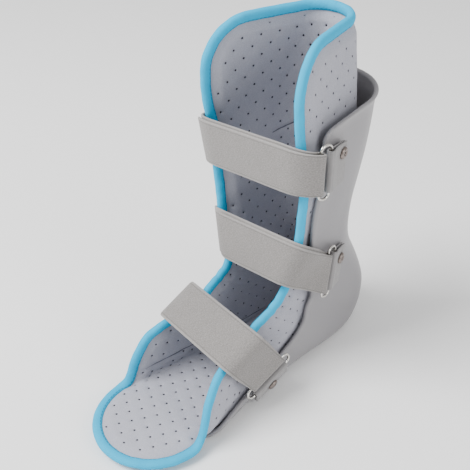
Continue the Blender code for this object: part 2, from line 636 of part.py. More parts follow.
def place(obj, look, collection):
    """Give an object its material and put it in a collection."""
    if look:
        obj.data.materials.clear()
        obj.data.materials.append(material(look))
    for home in list(obj.users_collection):
        home.objects.unlink(obj)
    collection.objects.link(obj)
    return obj


def grid_mesh(grid):
    """A flat grid of faces moved onto a grid of points, rows by columns."""
    bm = bmesh.new()
    bmesh.ops.create_grid(bm, x_segments=grid.shape[1] - 1, y_segments=grid.shape[0] - 1, size=1.0)
    onto_grid(bm.verts, grid)
    return bm


def onto_grid(verts, grid):
    """Move a flat grid's vertices onto a grid of points."""
    last_row, last_column = grid.shape[0] - 1, grid.shape[1] - 1
    for vert in verts:
        column = round((vert.co.x + 1) / 2 * last_column)
        row = round((vert.co.y + 1) / 2 * last_row)
        vert.co = grid[row, column]


def slab(name, outer, inner, look, collection):
    """A wall between two faces: a flat grid is extruded, and each side moved onto its face."""
    bm = bmesh.new()
    bmesh.ops.create_grid(bm, x_segments=outer.shape[1] - 1, y_segments=outer.shape[0] - 1,
                          size=1.0)
    first = list(bm.verts)
    made = bmesh.ops.extrude_face_region(bm, geom=list(bm.faces), use_keep_orig=True)
    second = [part for part in made["geom"] if isinstance(part, bmesh.types.BMVert)]
    onto_grid(first, outer)
    onto_grid(second, inner)
    bmesh.ops.recalc_face_normals(bm, faces=list(bm.faces))
    mesh = bpy.data.meshes.new(name)
    bm.to_mesh(mesh)
    bm.free()
    mesh.shade_smooth()
    mesh.set_sharp_from_angle(angle=math.radians(40))
    return place(bpy.data.objects.new(name, mesh), look, collection)


def sheet(name, grid, wall, look, collection):
    """A wall of even thickness about a grid of points."""
    bm = grid_mesh(grid)
    mesh = bpy.data.meshes.new(name)
    bm.to_mesh(mesh)
    bm.free()
    mesh.shade_smooth()
    obj = bpy.data.objects.new(name, mesh)
    solid = obj.modifiers.new("Wall", "SOLIDIFY")
    solid.thickness = wall
    solid.offset = 0.0
    solid.use_even_offset = True
    return place(obj, look, collection)


def wire(name, points, radius, resolution, look, collection):
    """A closed round bar through a ring of points."""
    curve = bpy.data.curves.new(name, "CURVE")
    curve.dimensions = "3D"
    curve.bevel_depth = radius
    curve.bevel_resolution = resolution
    spline = curve.splines.new("POLY")
    spline.points.add(len(points) - 1)
    for point, spot in zip(spline.points, points):
        point.co = (*spot, 1.0)
    spline.use_cyclic_u = True
    return place(bpy.data.objects.new(name, curve), look, collection)


def ring_points(strap_wrap, front, tab_wrap, rear):
    """The middle line of a ring: two long sides, one in each fold, and two round ends."""
    half = STRAP_WIDTH / 2 * RING_NARROW + EDGE_GAP
    turns = np.linspace(0.0, math.pi, WIRE_STEPS + 1)
    ends = [(-math.cos(a), half + RING_END * math.sin(a)) for a in turns]
    ends += [(math.cos(a), -half - RING_END * math.sin(a)) for a in turns]
    return [strap_wrap.point(front, w) * (1 - u) / 2 + tab_wrap.point(rear, w) * (1 + u) / 2
            for u, w in ends]


def rivet(name, wrap, spot, height, normal, walls, look, collection, cutters):
    """A domed rivet through a stack of webbing and the shell, with the cutter for its holes."""
    head_base, shank_end = walls
    small = 0.001
    across = wrap.point(spot, height + small) - wrap.point(spot, height - small)
    along = np.array([-normal[1], normal[0]]) * small
    forward = wrap.point(spot + along, height) - wrap.point(spot - along, height)
    axis = Vector(np.cross(forward, across)).normalized()
    centre = Vector(wrap.point(spot, height))
    turn = axis.to_track_quat("Z", "Y").to_matrix().to_4x4()
    radius, shank = RIVET_HEAD / 2, RIVET_SHANK / 2
    profile = [(radius * math.sin(a), head_base + RIVET_DOME * math.cos(a))
               for a in np.linspace(0.0, math.pi / 2, 5)]
    profile += [(radius, head_base), (shank, head_base), (shank, shank_end), (0.0, shank_end)]
    profile[4] = (radius, head_base + HEAD_EDGE)
    mesh = bpy.data.meshes.new(name)
    mesh.from_pydata([(x, 0.0, z) for x, z in profile],
                     [(i, i + 1) for i in range(len(profile) - 1)], [])
    obj = bpy.data.objects.new(name, mesh)
    obj.matrix_world = Matrix.Translation(centre) @ turn
    screw = obj.modifiers.new("Turn", "SCREW")
    screw.steps = RIVET_SIDES
    screw.render_steps = RIVET_SIDES
    screw.use_merge_vertices = True
    screw.merge_threshold = 0.00005
    place(obj, look, collection)
    bpy.ops.mesh.primitive_cylinder_add(vertices=RIVET_SIDES, radius=shank + RIVET_FIT,
                                        depth=HOLE_DEPTH, location=centre)
    cutter = bpy.context.active_object
    cutter.name = name + "_cutter"
    cutter.matrix_world = Matrix.Translation(centre - axis * HOLE_DEPTH / 4) @ turn
    cutter.hide_render = True
    cutter.display_type = "WIRE"
    place(cutter, None, cutters)
    return obj, cutter


def drill(obj, cutter):
    """Cut a rivet's hole through a piece."""
    hole = obj.modifiers.new("Hole", "BOOLEAN")
    hole.operation = "DIFFERENCE"
    hole.solver = "EXACT"
    hole.object = cutter


def fasten(name, wrap, rivet_seat, height, wall, inside, collection, cutters):
    """A rivet through a layer at its seat, its head on the layer and its shank in the shell."""
    spot, normal = rivet_seat
    spot = spot + normal * wall / 2
    start = wrap.point(spot, height)
    inward = wrap.point(spot - normal * 0.001, height) - start
    inward /= np.linalg.norm(inward)
    offset = inside - start
    reach = offset @ inward
    miss = np.linalg.norm(offset - reach[:, None] * inward, axis=1)
    miss[(reach < 0) | (reach > 0.025)] = math.inf
    depth = float(reach[np.argsort(miss)[:4]].min())
    walls = (TOUCH_GAP, -(depth - RIVET_FLUSH))
    return rivet(name, wrap, spot, height, normal, walls, "rivet_metal", collection, cutters)


def build():
    """Make every piece in one collection, and the cutters in another."""
    for old in list(bpy.data.objects):
        bpy.data.objects.remove(old, do_unlink=True)
    pieces = bpy.data.collections.new("foot_fracture_brace")
    cutters = bpy.data.collections.new("cutters")
    bpy.context.scene.collection.children.link(pieces)
    bpy.context.scene.collection.children.link(cutters)

    shell_face = shell_grid()
    liner_face = liner_grid(LINER_INSET)
    edge = bound_edge()
    shell = slab("shell", shell_face, shell_grid(SHELL_WALL), "moulded_shell", pieces)
    slab("liner", liner_face, liner_grid(LINER_INSET + LINER_WALL), "padded_liner", pieces)
    wire("binding", edge, BINDING_WIDTH / 2, 2, "edge_binding", pieces)

    slot_half = STRAP_WIDTH / 2 * RING_NARROW
    turns = np.linspace(0.0, 2 * math.pi, 13)[:-1]
    close = np.concatenate([edge, (edge + np.roll(edge, 1, axis=0)) / 2])
    rim = np.concatenate([close + BINDING_WIDTH / 2 * np.array([math.cos(a), math.sin(a), 0.0])
                          for a in turns]
                         + [close + BINDING_WIDTH / 2 * np.array([0.0, math.cos(a), math.sin(a)])
                            for a in turns])
    body = np.concatenate([finer(shell_face), finer(liner_face), rim])
    shell_inside = finer(shell_grid(SHELL_WALL))
    for strap in strap_rows():
        name = strap["name"]
        wrap = Wrap(strap, strap["run"], body)
        tab_wrap = Wrap(strap, strap["tab_run"], body)
        path, front_wire, strap_seat = strap_path(wrap, strap)
        path = eased_ends(path, (False, True))
        webbing, rear_wire, tab_seat = tab_path(tab_wrap, strap)
        strap_obj = sheet("strap_" + name,
                          band(wrap, path, STRAP_WIDTH / 2, (False, True), front_wire),
                          STRAP_WALL, "strap_fabric", pieces)
        tab_obj = sheet("tab_" + name,
                        band(tab_wrap, np.array(webbing), slot_half, (False, False)),
                        TAB_WALL, "tab_webbing", pieces)
        wire("ring_" + name, ring_points(wrap, front_wire, tab_wrap, rear_wire), WIRE_RADIUS, 1,
             "ring_wire", pieces)
        for which, frame, rivet_seat, wall, cut in (
                ("tab", tab_wrap, tab_seat, TAB_WALL, tab_obj),
                ("strap", wrap, strap_seat, STRAP_WALL, strap_obj)):
            cutter = fasten("rivet_" + which + "_" + name, frame, rivet_seat, strap["rivet_up"],
                            wall, shell_inside, pieces, cutters)[1]
            drill(shell, cutter)
            drill(cut, cutter)


build()
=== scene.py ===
"""Looks of the foot fracture brace: the punched padded liner with its sewn edge tape, the satin
moulded shell, three brushed straps folded round wire rings, their fluted tabs and the rivets.
Metres, +Z up, toes to -Y, rings at +X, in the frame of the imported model."""
import math

import bmesh
import bpy
import numpy as np
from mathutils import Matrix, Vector


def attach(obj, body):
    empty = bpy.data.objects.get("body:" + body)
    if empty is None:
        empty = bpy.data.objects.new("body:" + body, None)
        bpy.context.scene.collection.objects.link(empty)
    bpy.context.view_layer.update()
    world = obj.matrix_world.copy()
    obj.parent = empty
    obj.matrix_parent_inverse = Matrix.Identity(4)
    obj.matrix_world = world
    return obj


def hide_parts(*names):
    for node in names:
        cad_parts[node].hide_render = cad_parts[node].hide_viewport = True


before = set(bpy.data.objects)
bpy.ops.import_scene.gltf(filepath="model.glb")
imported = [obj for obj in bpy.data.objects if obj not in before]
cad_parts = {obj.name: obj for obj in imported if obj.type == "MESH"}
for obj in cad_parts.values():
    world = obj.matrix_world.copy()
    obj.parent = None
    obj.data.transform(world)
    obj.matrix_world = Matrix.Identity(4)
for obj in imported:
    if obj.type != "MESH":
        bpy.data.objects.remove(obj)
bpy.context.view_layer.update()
BODY = "root"

# The camera that took the photograph, in its square frame
PICTURE_SIZE = 470
FOCAL_PIXELS = 800.0
SENSOR = 36.0
CAMERA_PLACE = (0.3776, -0.3814, 0.5152)
CAMERA_AHEAD = (-0.583, 0.583, -0.566)

# Floor and light: name, place, size and power of each broad light
FLOOR_LOW = -0.0004
FLOOR_REACH = 4.0
LIGHTS = (("key", (-0.55, -1.0, 1.6), 1.0, 64.0), ("side", (1.5, 0.2, 0.9), 0.9, 12.0))
LIGHT_TARGET = (0.0, 0.0, 0.12)
WORLD_LIGHT = 0.80

# Sizes of the moulded form, as in the part
LINER_HEIGHT = 0.309
HEEL_REACH = 0.154
TOE_REACH = 0.147
CALF_WIDTH = 0.102
HEEL_WIDTH = 0.081
TOE_WIDTH = 0.096
CALF_WING = 0.080
ANKLE_WING = 0.130
FOOT_WING = 0.060
TOE_ROUND = 0.0497
TOP_CORNER = 0.038
SHELL_WALL = 0.003
SHELL_TOP = 0.250
RIM_RISE = 0.003
SHELL_CORNER = 0.013
SHELL_TOE_MARGIN = 0.011
LIP_FLARE = 0.0022
LIP_DEPTH = 0.012
LINER_WALL = 0.0075
LINER_GAP = 0.0008
NORMAL_REACH = 0.004

# Straps, rings, tabs and rivets, as in the part
STRAP_WIDTH = 0.042
STRAP_WALL = 0.0022
LAYER_GAP = 0.0005
WRAP_GAP = 0.0008
WIRE_GAP = 0.0005
TOUCH_GAP = 0.0003
EDGE_GAP = 0.0013
WIRE_RADIUS = 0.0014
RING_SLOT = 0.0120
RING_END = 0.0045
RING_NARROW = 0.93
NARROW_RUN = 0.025
TAB_WALL = 0.0016
TAB_TAIL = 0.007
STRAP_TAIL = 0.010
RIVET_HEAD = 0.0100
RIVET_DOME = 0.0022
CORNER_ROUND = 0.006
EASE_RUN = 0.030
TAPER_RUN = 0.035
RUN_STEP = 0.013
RUN_LEAST = 0.0012
SEAT_MARGIN = 0.001
WRAP_BACK = 0.008
FOLD_STEPS = 6
WRAP_ANGLES = (24, 16, 10, 5, 0, -5, -15, -30, -45, -60, -75)

# Finish
SPINE_PLACES = 1500         # close places along the spine where the ribs are read
SPINE_SPREAD = 0.008        # and the spread of their averaging,
TOE_SPREAD = 0.002          # which is less towards the toe,
FOOT_START = 0.405          # beyond this place along the spine
FOOT_RUN = 0.030
RIM_SPREAD = 0.016          # of the averaging of the shell's side edge
FABRIC_STEP = 0.00205       # between the liner's grid lines
EDGE_TUCK = 0.0022          # the liner's edge lies this far inside the middle of its tape
PAD_ROUND = 0.0095          # the padding thins to the tape over this distance,
PAD_POWER = 0.7             # with this power of it
PUFF = 0.00035              # soft unevenness of the padding, of two lengths,
PUFF_WIDE = 0.055
PUFF_SMALL = 0.021
SETTLE_FROM = 0.003         # which sets in at this distance from the liner's edge
SETTLE_RUN = 0.010          # and is whole after this stretch
RIM_PART = 0.0018           # the liner stands back from the shell's front edges by this,
RIM_PART_WIDTH = 0.005      # in a bell of this width
RIM_PART_TOP = 0.02         # that starts this far under the shell's rim
RIM_COVER = 0.004           # the shell hides the liner this far inside its own edges
HOLE_RADIUS = 0.00078
PUCKER_DEPTH = 0.00045      # the fabric dips towards each punched hole
PUCKER_REACH = 0.0026
TAPE_WIDTH = 0.0088
TAPE_THICK = 0.0072
TAPE_SIDES = 22
TAPE_STEP = 0.0014
TAPE_EASE = 0.0030          # averaging of the tape's way
TAPE_PULL = 0.00016         # the tape draws in by this at every stitch
TAPE_LUMP = 0.00022         # and is uneven by this
STITCH_LENGTH = 0.0026
STITCH_PITCH = 0.0037
SEAM_MARGIN = 0.0028        # the seams lie this far inside the straps' ends and edges
THREAD = 0.00032
HEM = 0.0027                # the straps' hem lines lie this far inside their edges
WIRE_SHOWN = 0.00115        # the bright wire is thinner than the round bar of the part
WIRE_STEP = 0.0006
BEAD = 0.0004               # the shell's rim is thicker by this on each face,
BEAD_FLAT = 0.0015          # as far as this from its edge, and then less,
BEAD_FADE = 0.0022          # with a bell of this width
EDGE_REACH = 0.012          # distances to the shell's edge are taken up to here,
BORDER_STEP = 0.0006        # from points this far apart on it
FACET_DEPTH = 0.00025       # faint flutes round the calf of the shell
FACET_PITCH = 0.0062        # with this pitch, over two pi,
FACET_END = 0.33            # down to this share of the spine
FACET_FADE = 0.05           # and fading over this stretch
# Ways of the straps and tabs: the step, the averaging, and the distance from the fold where it
# sets in, with the averaging within the fold
STRAP_EASE = (0.0009, 0.0035, 0.006)
TAB_EASE = (0.0005, 0.0020, 0.004)
FOLD_EASE = 0.0006
STRAP_WAVE = 0.00018        # unevenness of the straps
TAB_WAVE = 0.00008          # and of the tabs
WAVE_LONG = 0.045
FLUTE_PITCH = 0.0027
FLUTE = {"calf": 0.00006, "ankle": 0.00006, "instep": 0.00028}
SEAM_BOX = {"calf": 0.040, "ankle": 0.030, "instep": 0.0035}
# A strap's inner layer stands above its outer one by slip, and the outer one off it by lift
SLIP = {"calf": 0.0020, "ankle": 0.0030, "instep": 0.0}
LIFT = {"calf": 0.0006, "ankle": 0.0012, "instep": 0.0003}
LAYER_RUN = 0.035
# Profile of a rivet's hollow: radius as a share of the head's, height as a share of the dome's
RIVET_HOLLOW = ((0.0, 0.45), (0.20, 0.45), (0.30, 0.52), (0.38, 0.80), (0.48, 0.96))
RIVET_CREST = 0.64          # radius of the dome's top, as a share of the head's
RIVET_SHANK = 0.4           # and of the shank
RIVET_BRIM = 0.12           # height of the head's edge, as a share of the dome's
RIVET_DEPTH = 0.006

# Ribs of the form, from the top of the calf to the toe, as in the part
RIB_COLUMNS = ("zone", "back", "height", "rake", "flat", "radius", "bend", "wing", "shell")
RIBS = (
    ("calf", 0.880, 1.000, 0.0, 0.03, 0.87, 85.6, 1.015, 0.889),
    ("calf", 0.868, 0.809, 0.0, 0.03, 0.96, 82.7, 0.965, 0.902),
    ("calf", 0.844, 0.686, 0.0, 0.03, 0.94, 82.1, 0.827, 0.914),
    ("calf", 0.807, 0.576, 1.0, 0.03, 0.87, 82.5, 0.778, 0.933),
    ("calf", 0.776, 0.485, 2.3, 0.02, 0.82, 80.5, 0.751, 0.932),
    ("calf", 0.768, 0.414, 1.2, 0.02, 0.81, 83.1, 0.729, 0.896),
    ("calf", 0.798, 0.343, 2.2, 0.02, 0.79, 87.0, 0.775, 0.845),
    ("heel", 0.866, 0.285, 3.5, 0.04, 0.90, 88.5, 0.577, 0.786),
    ("heel", 0.928, 0.214, 10.2, 0.09, 0.86, 89.5, 0.716, 0.772),
    ("heel", 0.982, 0.129, 18.3, 0.10, 0.83, 88.9, 0.857, 0.767),
    ("heel", 0.976, 0.052, 25.3, 0.16, 0.69, 88.0, 0.992, 0.782),
    ("heel", 0.906, 0.008, 30.5, 0.30, 0.52, 87.1, 1.031, 0.754),
    ("heel", 0.767, 0.000, 34.0, 0.49, 0.45, 89.6, 0.939, 0.703),
    ("heel", 0.552, 0.000, 39.9, 0.56, 0.41, 90.2, 0.784, 0.652),
    ("heel", 0.292, 0.000, 49.4, 0.54, 0.41, 90.8, 0.577, 0.571),
    ("foot", 0.034, 0.000, 61.3, 0.53, 0.33, 90.9, 0.996, 0.552),
    ("foot", -0.204, 0.000, 73.8, 0.59, 0.33, 90.3, 0.809, 0.550),
    ("foot", -0.395, 0.000, 87.0, 0.70, 0.30, 91.6, 0.706, 0.552),
    ("foot", -0.463, 0.000, 90.0, 0.73, 0.31, 91.0, 0.609, 0.547),
    ("foot", -0.517, 0.000, 90.0, 0.75, 0.29, 88.0, 0.396, 0.573),
    ("foot", -0.544, 0.000, 90.0, 0.76, 0.28, 82.0, 0.161, 0.603),
    ("foot", -0.568, 0.000, 90.0, 0.77, 0.31, 69.6, 0.020, 0.680),
    ("foot", -0.592, 0.000, 90.0, 0.83, 0.31, 49.5, 0.020, 0.740),
    ("foot", -0.619, 0.000, 90.0, 0.865, 0.28, 28.6, 0.058, 0.770),
    ("foot", -0.667, 0.000, 90.0, 1.000, 0.29, 0.0, 0.000, 0.800),
    ("foot", -1.000, 0.000, 90.0, 1.000, 0.29, 0.0, 0.000, 0.800),
)
LINER_COLUMNS = ("height", "forward", "tighter", "open")
LINER_TOP = (
    (0.48, 0.000, 0.00, 0.0),
    (0.58, 0.020, 0.00, 0.8),
    (0.69, 0.088, 0.04, 0.5),
    (0.81, 0.143, 0.12, 3.0),
    (1.00, 0.177, 0.25, 10.4),
)
STRAP_COLUMNS = ("name", "back", "up", "run", "tab_run", "width", "skew", "taper", "front_taper",
                 "tab_rivet", "end", "strap_rivet", "rivet_up", "bow")
STRAPS = (
    ("calf", 0.182, 0.6845, 12.0, 4.0, -7.0, 0.100, 1.5, 1.8, 0.57, 0.37, 0.81, 0.26, 0.024),
    ("ankle", 0.367, 0.3220, 32.5, 5.0, 6.5, 0.075, 0.0, 6.0, 0.43, 0.01, 0.43, 0.19, 0.024),
    ("instep", -0.0585, 0.1133, 55.0, 68.0, 70.0, -0.088, 0.5, 0.5, 0.43, 0.13, 0.285, 0.0, 0.024),
)

# Creases of the liner's inner face, as (spine, section) distances of their ends, with the groove's
# depth and half width and the height of the swell beside it
CREASE_COLUMNS = ("start", "end", "depth", "width", "swell")
CREASES = (
    ((0.372, -0.0560), (0.540, -0.0662), 0.0012, 0.0017, 0.0005),
    ((0.112, -0.1240), (0.190, -0.1015), 0.0011, 0.0026, 0.0018),
    ((0.020, -0.1190), (0.075, -0.1320), 0.0005, 0.0030, 0.0014),
    ((0.1115, -0.0700), (0.1040, -0.0380), 0.0016, 0.0022, 0.0010),
)
# The punched holes' lattices, each with the spine stretch and the section distances it covers, the
# plane its vectors are in, one hole and the two steps between holes, in metres
HOLE_COLUMNS = ("from_s", "to_s", "from_p", "to_p", "plane", "hole", "first", "second")
HOLES = (
    (0.000, 0.235, 0.000, 1.000, "sp", (0.0675, -0.0782), (0.00865, 0.0090), (0.00865, -0.0084)),
    (0.235, 0.430, 0.000, 0.050, "sp", (0.0675, -0.0782), (0.00865, 0.0090), (0.00865, -0.0084)),
    (0.235, 0.430, 0.050, 1.000, "yz", (0.0303, 0.0706), (0.0105, -0.0090), (-0.0078, -0.0072)),
    (0.430, 1.000, 0.000, 0.062, "sp", (0.5398, -0.0039), (-0.00945, 0.00515), (0.0050, 0.0096)),
    (0.430, 1.000, 0.062, 1.000, "yz", (-0.0561, 0.0298), (0.0109, -0.0035), (-0.0041, -0.0115)),
)
HOLE_EDGE = 0.0052          # no hole is closer than this to the liner's edge
HOLE_CREASE = 0.0032        # or to a crease
HOLE_LEAST = 0.0058         # or to another hole
# Profile of a punched hole: radius as a share of the hole's, depth below the fabric
HOLE_RINGS = ((1.45, 0.00010), (1.05, 0.00040), (0.85, 0.00120))


# Arrays

def unit(vectors):
    """The vectors, each divided by its length."""
    return vectors / np.linalg.norm(vectors, axis=-1, keepdims=True)


def eased(share):
    """A share from 0 to 1, made flat at both ends: 3 times its square less 2 times its cube."""
    return share ** 2 * (3 - 2 * share)


def lengths(path):
    """The way along the path to each of its points: the sum of the steps before it."""
    return np.concatenate([[0.0], np.cumsum(np.linalg.norm(np.diff(path, axis=0), axis=1))])


def read(at, length, path):
    """The path's columns at places along it, by linear interpolation."""
    return np.stack([np.interp(at, length, path[:, k]) for k in range(path.shape[1])], axis=1)


def even(path, step, closed=False):
    """The path with points about one step apart, by linear interpolation along its length."""
    if closed:
        path = np.concatenate([path, path[:1]])
    length = lengths(path)
    at = np.linspace(0.0, length[-1], max(4, int(round(length[-1] / step))) + 1)
    return read(at[:-1] if closed else at, length, path)


def loop_ahead(line):
    """Unit steps along a closed line, from the point before to the point after."""
    return unit(np.roll(line, -1, axis=0) - np.roll(line, 1, axis=0))


def normals(path):
    """Unit normals of a path in a slice's plane: its steps, turned by a quarter."""
    step = np.gradient(path, axis=0)
    return unit(np.stack([step[:, 1], -step[:, 0]], axis=1))


def round_profile(middle, radius, aside, up, sides):
    """Circles round a line: at even angles, the cosine aside and the sine up."""
    turn = np.linspace(0.0, 2 * math.pi, sides + 1)[:-1][None, :, None]
    return middle[:, None] + radius * (aside[:, None] * np.cos(turn) + up[:, None] * np.sin(turn))


def ripple(a, b, scale, seed):
    """Soft unevenness from -1 to 1: a sum of six sine waves in seeded directions."""
    rng = np.random.default_rng(seed)
    total = np.zeros(np.broadcast(a, b).shape)
    for _ in range(6):
        turn, phase = rng.uniform(0, 2 * math.pi, 2)
        wave = 2 * math.pi / scale * rng.uniform(0.6, 1.5)
        total = total + np.sin(wave * (a * math.cos(turn) + b * math.sin(turn)) + phase)
    return total / 6


# Forms shared with the part

def smooth(places, values, at):
    """Cubic curve through a column that never passes beyond its rows: on each interval a Hermite
    cubic, whose slope at a row is the weighted harmonic mean of the rises on its two sides."""
    step = np.diff(places)
    rise = np.diff(values) / step
    slope = np.zeros(len(values))
    near, far = rise[:-1], rise[1:]
    same = near * far > 0
    first = (2 * step[1:] + step[:-1])[same]
    second = (step[1:] + 2 * step[:-1])[same]
    slope[1:-1][same] = (first + second) / (first / near[same] + second / far[same])
    slope[0], slope[-1] = rise[0], rise[-1]
    cell = np.clip(np.searchsorted(places, at) - 1, 0, len(step) - 1)
    length = step[cell]
    t = np.clip((at - places[cell]) / length, 0.0, 1.0)
    return (values[cell] * (1 + 2 * t) * (1 - t) ** 2 + values[cell + 1] * (3 - 2 * t) * t ** 2
            + length * t * (1 - t) * (slope[cell] * (1 - t) - slope[cell + 1] * t))


def blurred(path, spread, closed=False):
    """The path averaged over its neighbours with a bell of this spread, in points."""
    reach = int(math.ceil(3 * spread))
    bell = np.exp(-0.5 * (np.arange(-reach, reach + 1) / spread) ** 2)
    bell /= bell.sum()
    if closed:
        padded = np.concatenate([path[-reach:], path, path[:reach]])
    else:
        first = 2 * path[0] - path[1:reach + 1][::-1]
        last = 2 * path[-1] - path[-reach - 1:-1][::-1]
        padded = np.concatenate([first, path, last])
    return np.stack([np.convolve(padded[:, axis], bell, "valid") for axis in range(path.shape[1])],
                    axis=1)


def eased_curves(curves, close, spread):
    """Curves averaged over this spread up to the ball of the foot, and less before the toe."""
    soft = blurred(curves, spread / close[1])
    crisp = blurred(curves, TOE_SPREAD / close[1])
    share = eased(np.clip((close - FOOT_START) / FOOT_RUN, 0.0, 1.0)[:, None])
    return soft * (1 - share) + crisp * share


def rib_table():
    """The ribs in metres and radians, with their places along the spine. The cubic curve through
    them is read at close places and averaged over its neighbours, so that it bends evenly."""
    rows = {name: [row[i] for row in RIBS] for i, name in enumerate(RIB_COLUMNS)}
    widths = {"calf": CALF_WIDTH, "heel": HEEL_WIDTH, "foot": TOE_WIDTH}
    wings = {"calf": CALF_WING, "heel": ANKLE_WING, "foot": FOOT_WING}
    half = np.array([widths[zone] / 2 for zone in rows["zone"]])
    wing = np.array([wings[zone] for zone in rows["zone"]])
    back = np.array(rows["back"])
    table = {
        "y": np.where(back > 0, back * HEEL_REACH, back * TOE_REACH),
        "z": np.array(rows["height"]) * LINER_HEIGHT,
        "rake": np.radians(rows["rake"]),
        "flat": np.array(rows["flat"]) * half,
        "radius": np.array(rows["radius"]) * half,
        "bend": np.radians(rows["bend"]),
        "wing": np.array(rows["wing"]) * wing,
        "shell": np.array(rows["shell"]),
    }
    steps = np.hypot(np.diff(table["y"]), np.diff(table["z"]))
    spine = np.concatenate([[0.0], np.cumsum(steps)])
    close = np.linspace(0.0, spine[-1], SPINE_PLACES)
    curves = np.stack([smooth(spine, table[name], close) for name in table], axis=1)
    made = dict(zip(table, eased_curves(curves, close, SPINE_SPREAD).T))
    made["spine"] = close
    return made


TABLE = rib_table()
SPINE_END = TABLE["spine"][-1]
TOE_START = SPINE_END - TOE_ROUND
LINER_INSET = SHELL_WALL + LINER_GAP
MIDDLE_INSET = LINER_INSET + LINER_WALL / 2
SHELL_END = SPINE_END - SHELL_TOE_MARGIN
RIM_RADIUS = SHELL_WALL / 2 + BEAD
RIM = float(np.interp(-SHELL_TOP, -TABLE["z"][:SPINE_PLACES // 3],
                      TABLE["spine"][:SPINE_PLACES // 3]))


def ribs_at(s):
    """The shell's ribs at spine distances s."""
    s = np.asarray(s, float)
    return {name: np.interp(s, TABLE["spine"], TABLE[name]) for name in TABLE if name != "spine"}


def liner_ribs_at(s):
    """The liner's ribs: the shell's, moved forward, tightened and opened above the ankle."""
    ribs = ribs_at(s)
    rows = {name: np.array([row[i] for row in LINER_TOP]) for i, name in enumerate(LINER_COLUMNS)}
    height = np.clip(ribs["z"] / LINER_HEIGHT, rows["height"][0], 1.0)
    forward = smooth(rows["height"], rows["forward"], height) * CALF_WIDTH
    tighter = smooth(rows["height"], rows["tighter"], height) * CALF_WIDTH / 2
    opened = np.radians(smooth(rows["height"], rows["open"], height))
    depth = ribs["radius"] * (1 - np.cos(ribs["bend"])) + ribs["wing"] * np.sin(ribs["bend"])
    ribs["y"] = ribs["y"] - forward * np.cos(ribs["rake"])
    ribs["z"] = ribs["z"] + forward * np.sin(ribs["rake"])
    ribs["radius"] = ribs["radius"] - tighter
    ribs["bend"] = ribs["bend"] - opened
    bend_depth = ribs["radius"] * (1 - np.cos(ribs["bend"]))
    changed = forward > 0
    slant = np.where(changed, np.sin(ribs["bend"]), 1.0)
    ribs["wing"] = np.where(changed, (depth - forward - bend_depth) / slant, ribs["wing"])
    return ribs


def girth(ribs):
    """Length of half a section, from the middle to the wing's edge."""
    return ribs["flat"] + ribs["radius"] * ribs["bend"] + ribs["wing"]


def form(ribs, p):
    """Points at the signed distances p along the sections: a flat, a bend and a straight wing."""
    reach = np.abs(p)
    turn = np.clip((reach - ribs["flat"]) / ribs["radius"], 0.0, ribs["bend"])
    rest = np.maximum(reach - ribs["flat"] - ribs["radius"] * ribs["bend"], 0.0)
    across = (np.minimum(reach, ribs["flat"]) + ribs["radius"] * np.sin(turn)
              + rest * np.cos(ribs["bend"]))
    depth = ribs["radius"] * (1 - np.cos(turn)) + rest * np.sin(ribs["bend"])
    return np.stack([np.sign(p) * across,
                     ribs["y"] - depth * np.cos(ribs["rake"]),
                     ribs["z"] + depth * np.sin(ribs["rake"])], axis=-1)


def directions(rib_rule, s, p):
    """Unit steps along p, along s square to it, and outwards, by differences of the form."""
    along = form(rib_rule(np.minimum(s + NORMAL_REACH, SPINE_END)), p)
    along = along - form(rib_rule(np.maximum(s - NORMAL_REACH, 0.0)), p)
    small = 0.0002
    ribs = rib_rule(s)
    across = form(ribs, p + small) - form(ribs, p - small)
    outward = unit(np.cross(across, along))
    across = unit(across)
    return across, np.cross(outward, across), outward


def liner_outline(s):
    """Section length to the liner's bound edge, round its upper corners and its toe."""
    length = girth(liner_ribs_at(s))
    rise = np.clip(TOP_CORNER - s, 0.0, TOP_CORNER)
    length = length - (TOP_CORNER - np.sqrt(TOP_CORNER ** 2 - rise ** 2))
    run = np.clip((s - TOE_START) / TOE_ROUND, 0.0, 1.0)
    return length * np.sqrt(1 - run ** 2)


def nearest(points, border, chunk=2000):
    """Distance from each point to the nearest border point, in chunks of whole arrays."""
    found = [np.sqrt(((points[k:k + chunk, None] - border[None]) ** 2).sum(-1).min(axis=1))
             for k in range(0, len(points), chunk)]
    return np.concatenate(found)


# Meshes

def linked(name, data):
    """A new object of the scene."""
    obj = bpy.data.objects.new(name, data)
    bpy.context.scene.collection.objects.link(obj)
    return obj


def compact(faces, count):
    """The points out of count that the faces use, and the faces with their new numbers."""
    used = np.unique(np.concatenate([np.array(face) for face in faces]))
    renumber = np.zeros(count, int)
    renumber[used] = np.arange(len(used))
    return used, [renumber[face].tolist() for face in faces]


def piece(name, points, faces, look, replaces, uv=None, marks=None, angle=35):
    """A mesh object from points and faces, with outward faces, its finish and its CAD node. uv
    holds a pair for each point, and marks holds named values for each point."""
    mesh = bpy.data.meshes.new(name)
    mesh.from_pydata(points.tolist(), [], faces)
    if uv is not None:
        corner = np.zeros(len(mesh.loops), np.int32)
        mesh.loops.foreach_get("vertex_index", corner)
        layer = mesh.uv_layers.new(name="surface")
        layer.data.foreach_set("uv", uv[corner].astype(np.float32).ravel())
    for mark, values in (marks or {}).items():
        mesh.attributes.new(mark, "FLOAT", "POINT").data.foreach_set(
            "value", values.astype(np.float32))
    bm = bmesh.new()
    bm.from_mesh(mesh)
    bmesh.ops.recalc_face_normals(bm, faces=list(bm.faces))
    bm.to_mesh(mesh)
    bm.free()
    mesh.shade_smooth()
    mesh.set_sharp_from_angle(angle=math.radians(angle))
    obj = linked(name, mesh)
    mesh.materials.append(look)
    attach(obj, BODY)
    if replaces:
        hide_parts(replaces)
    return obj


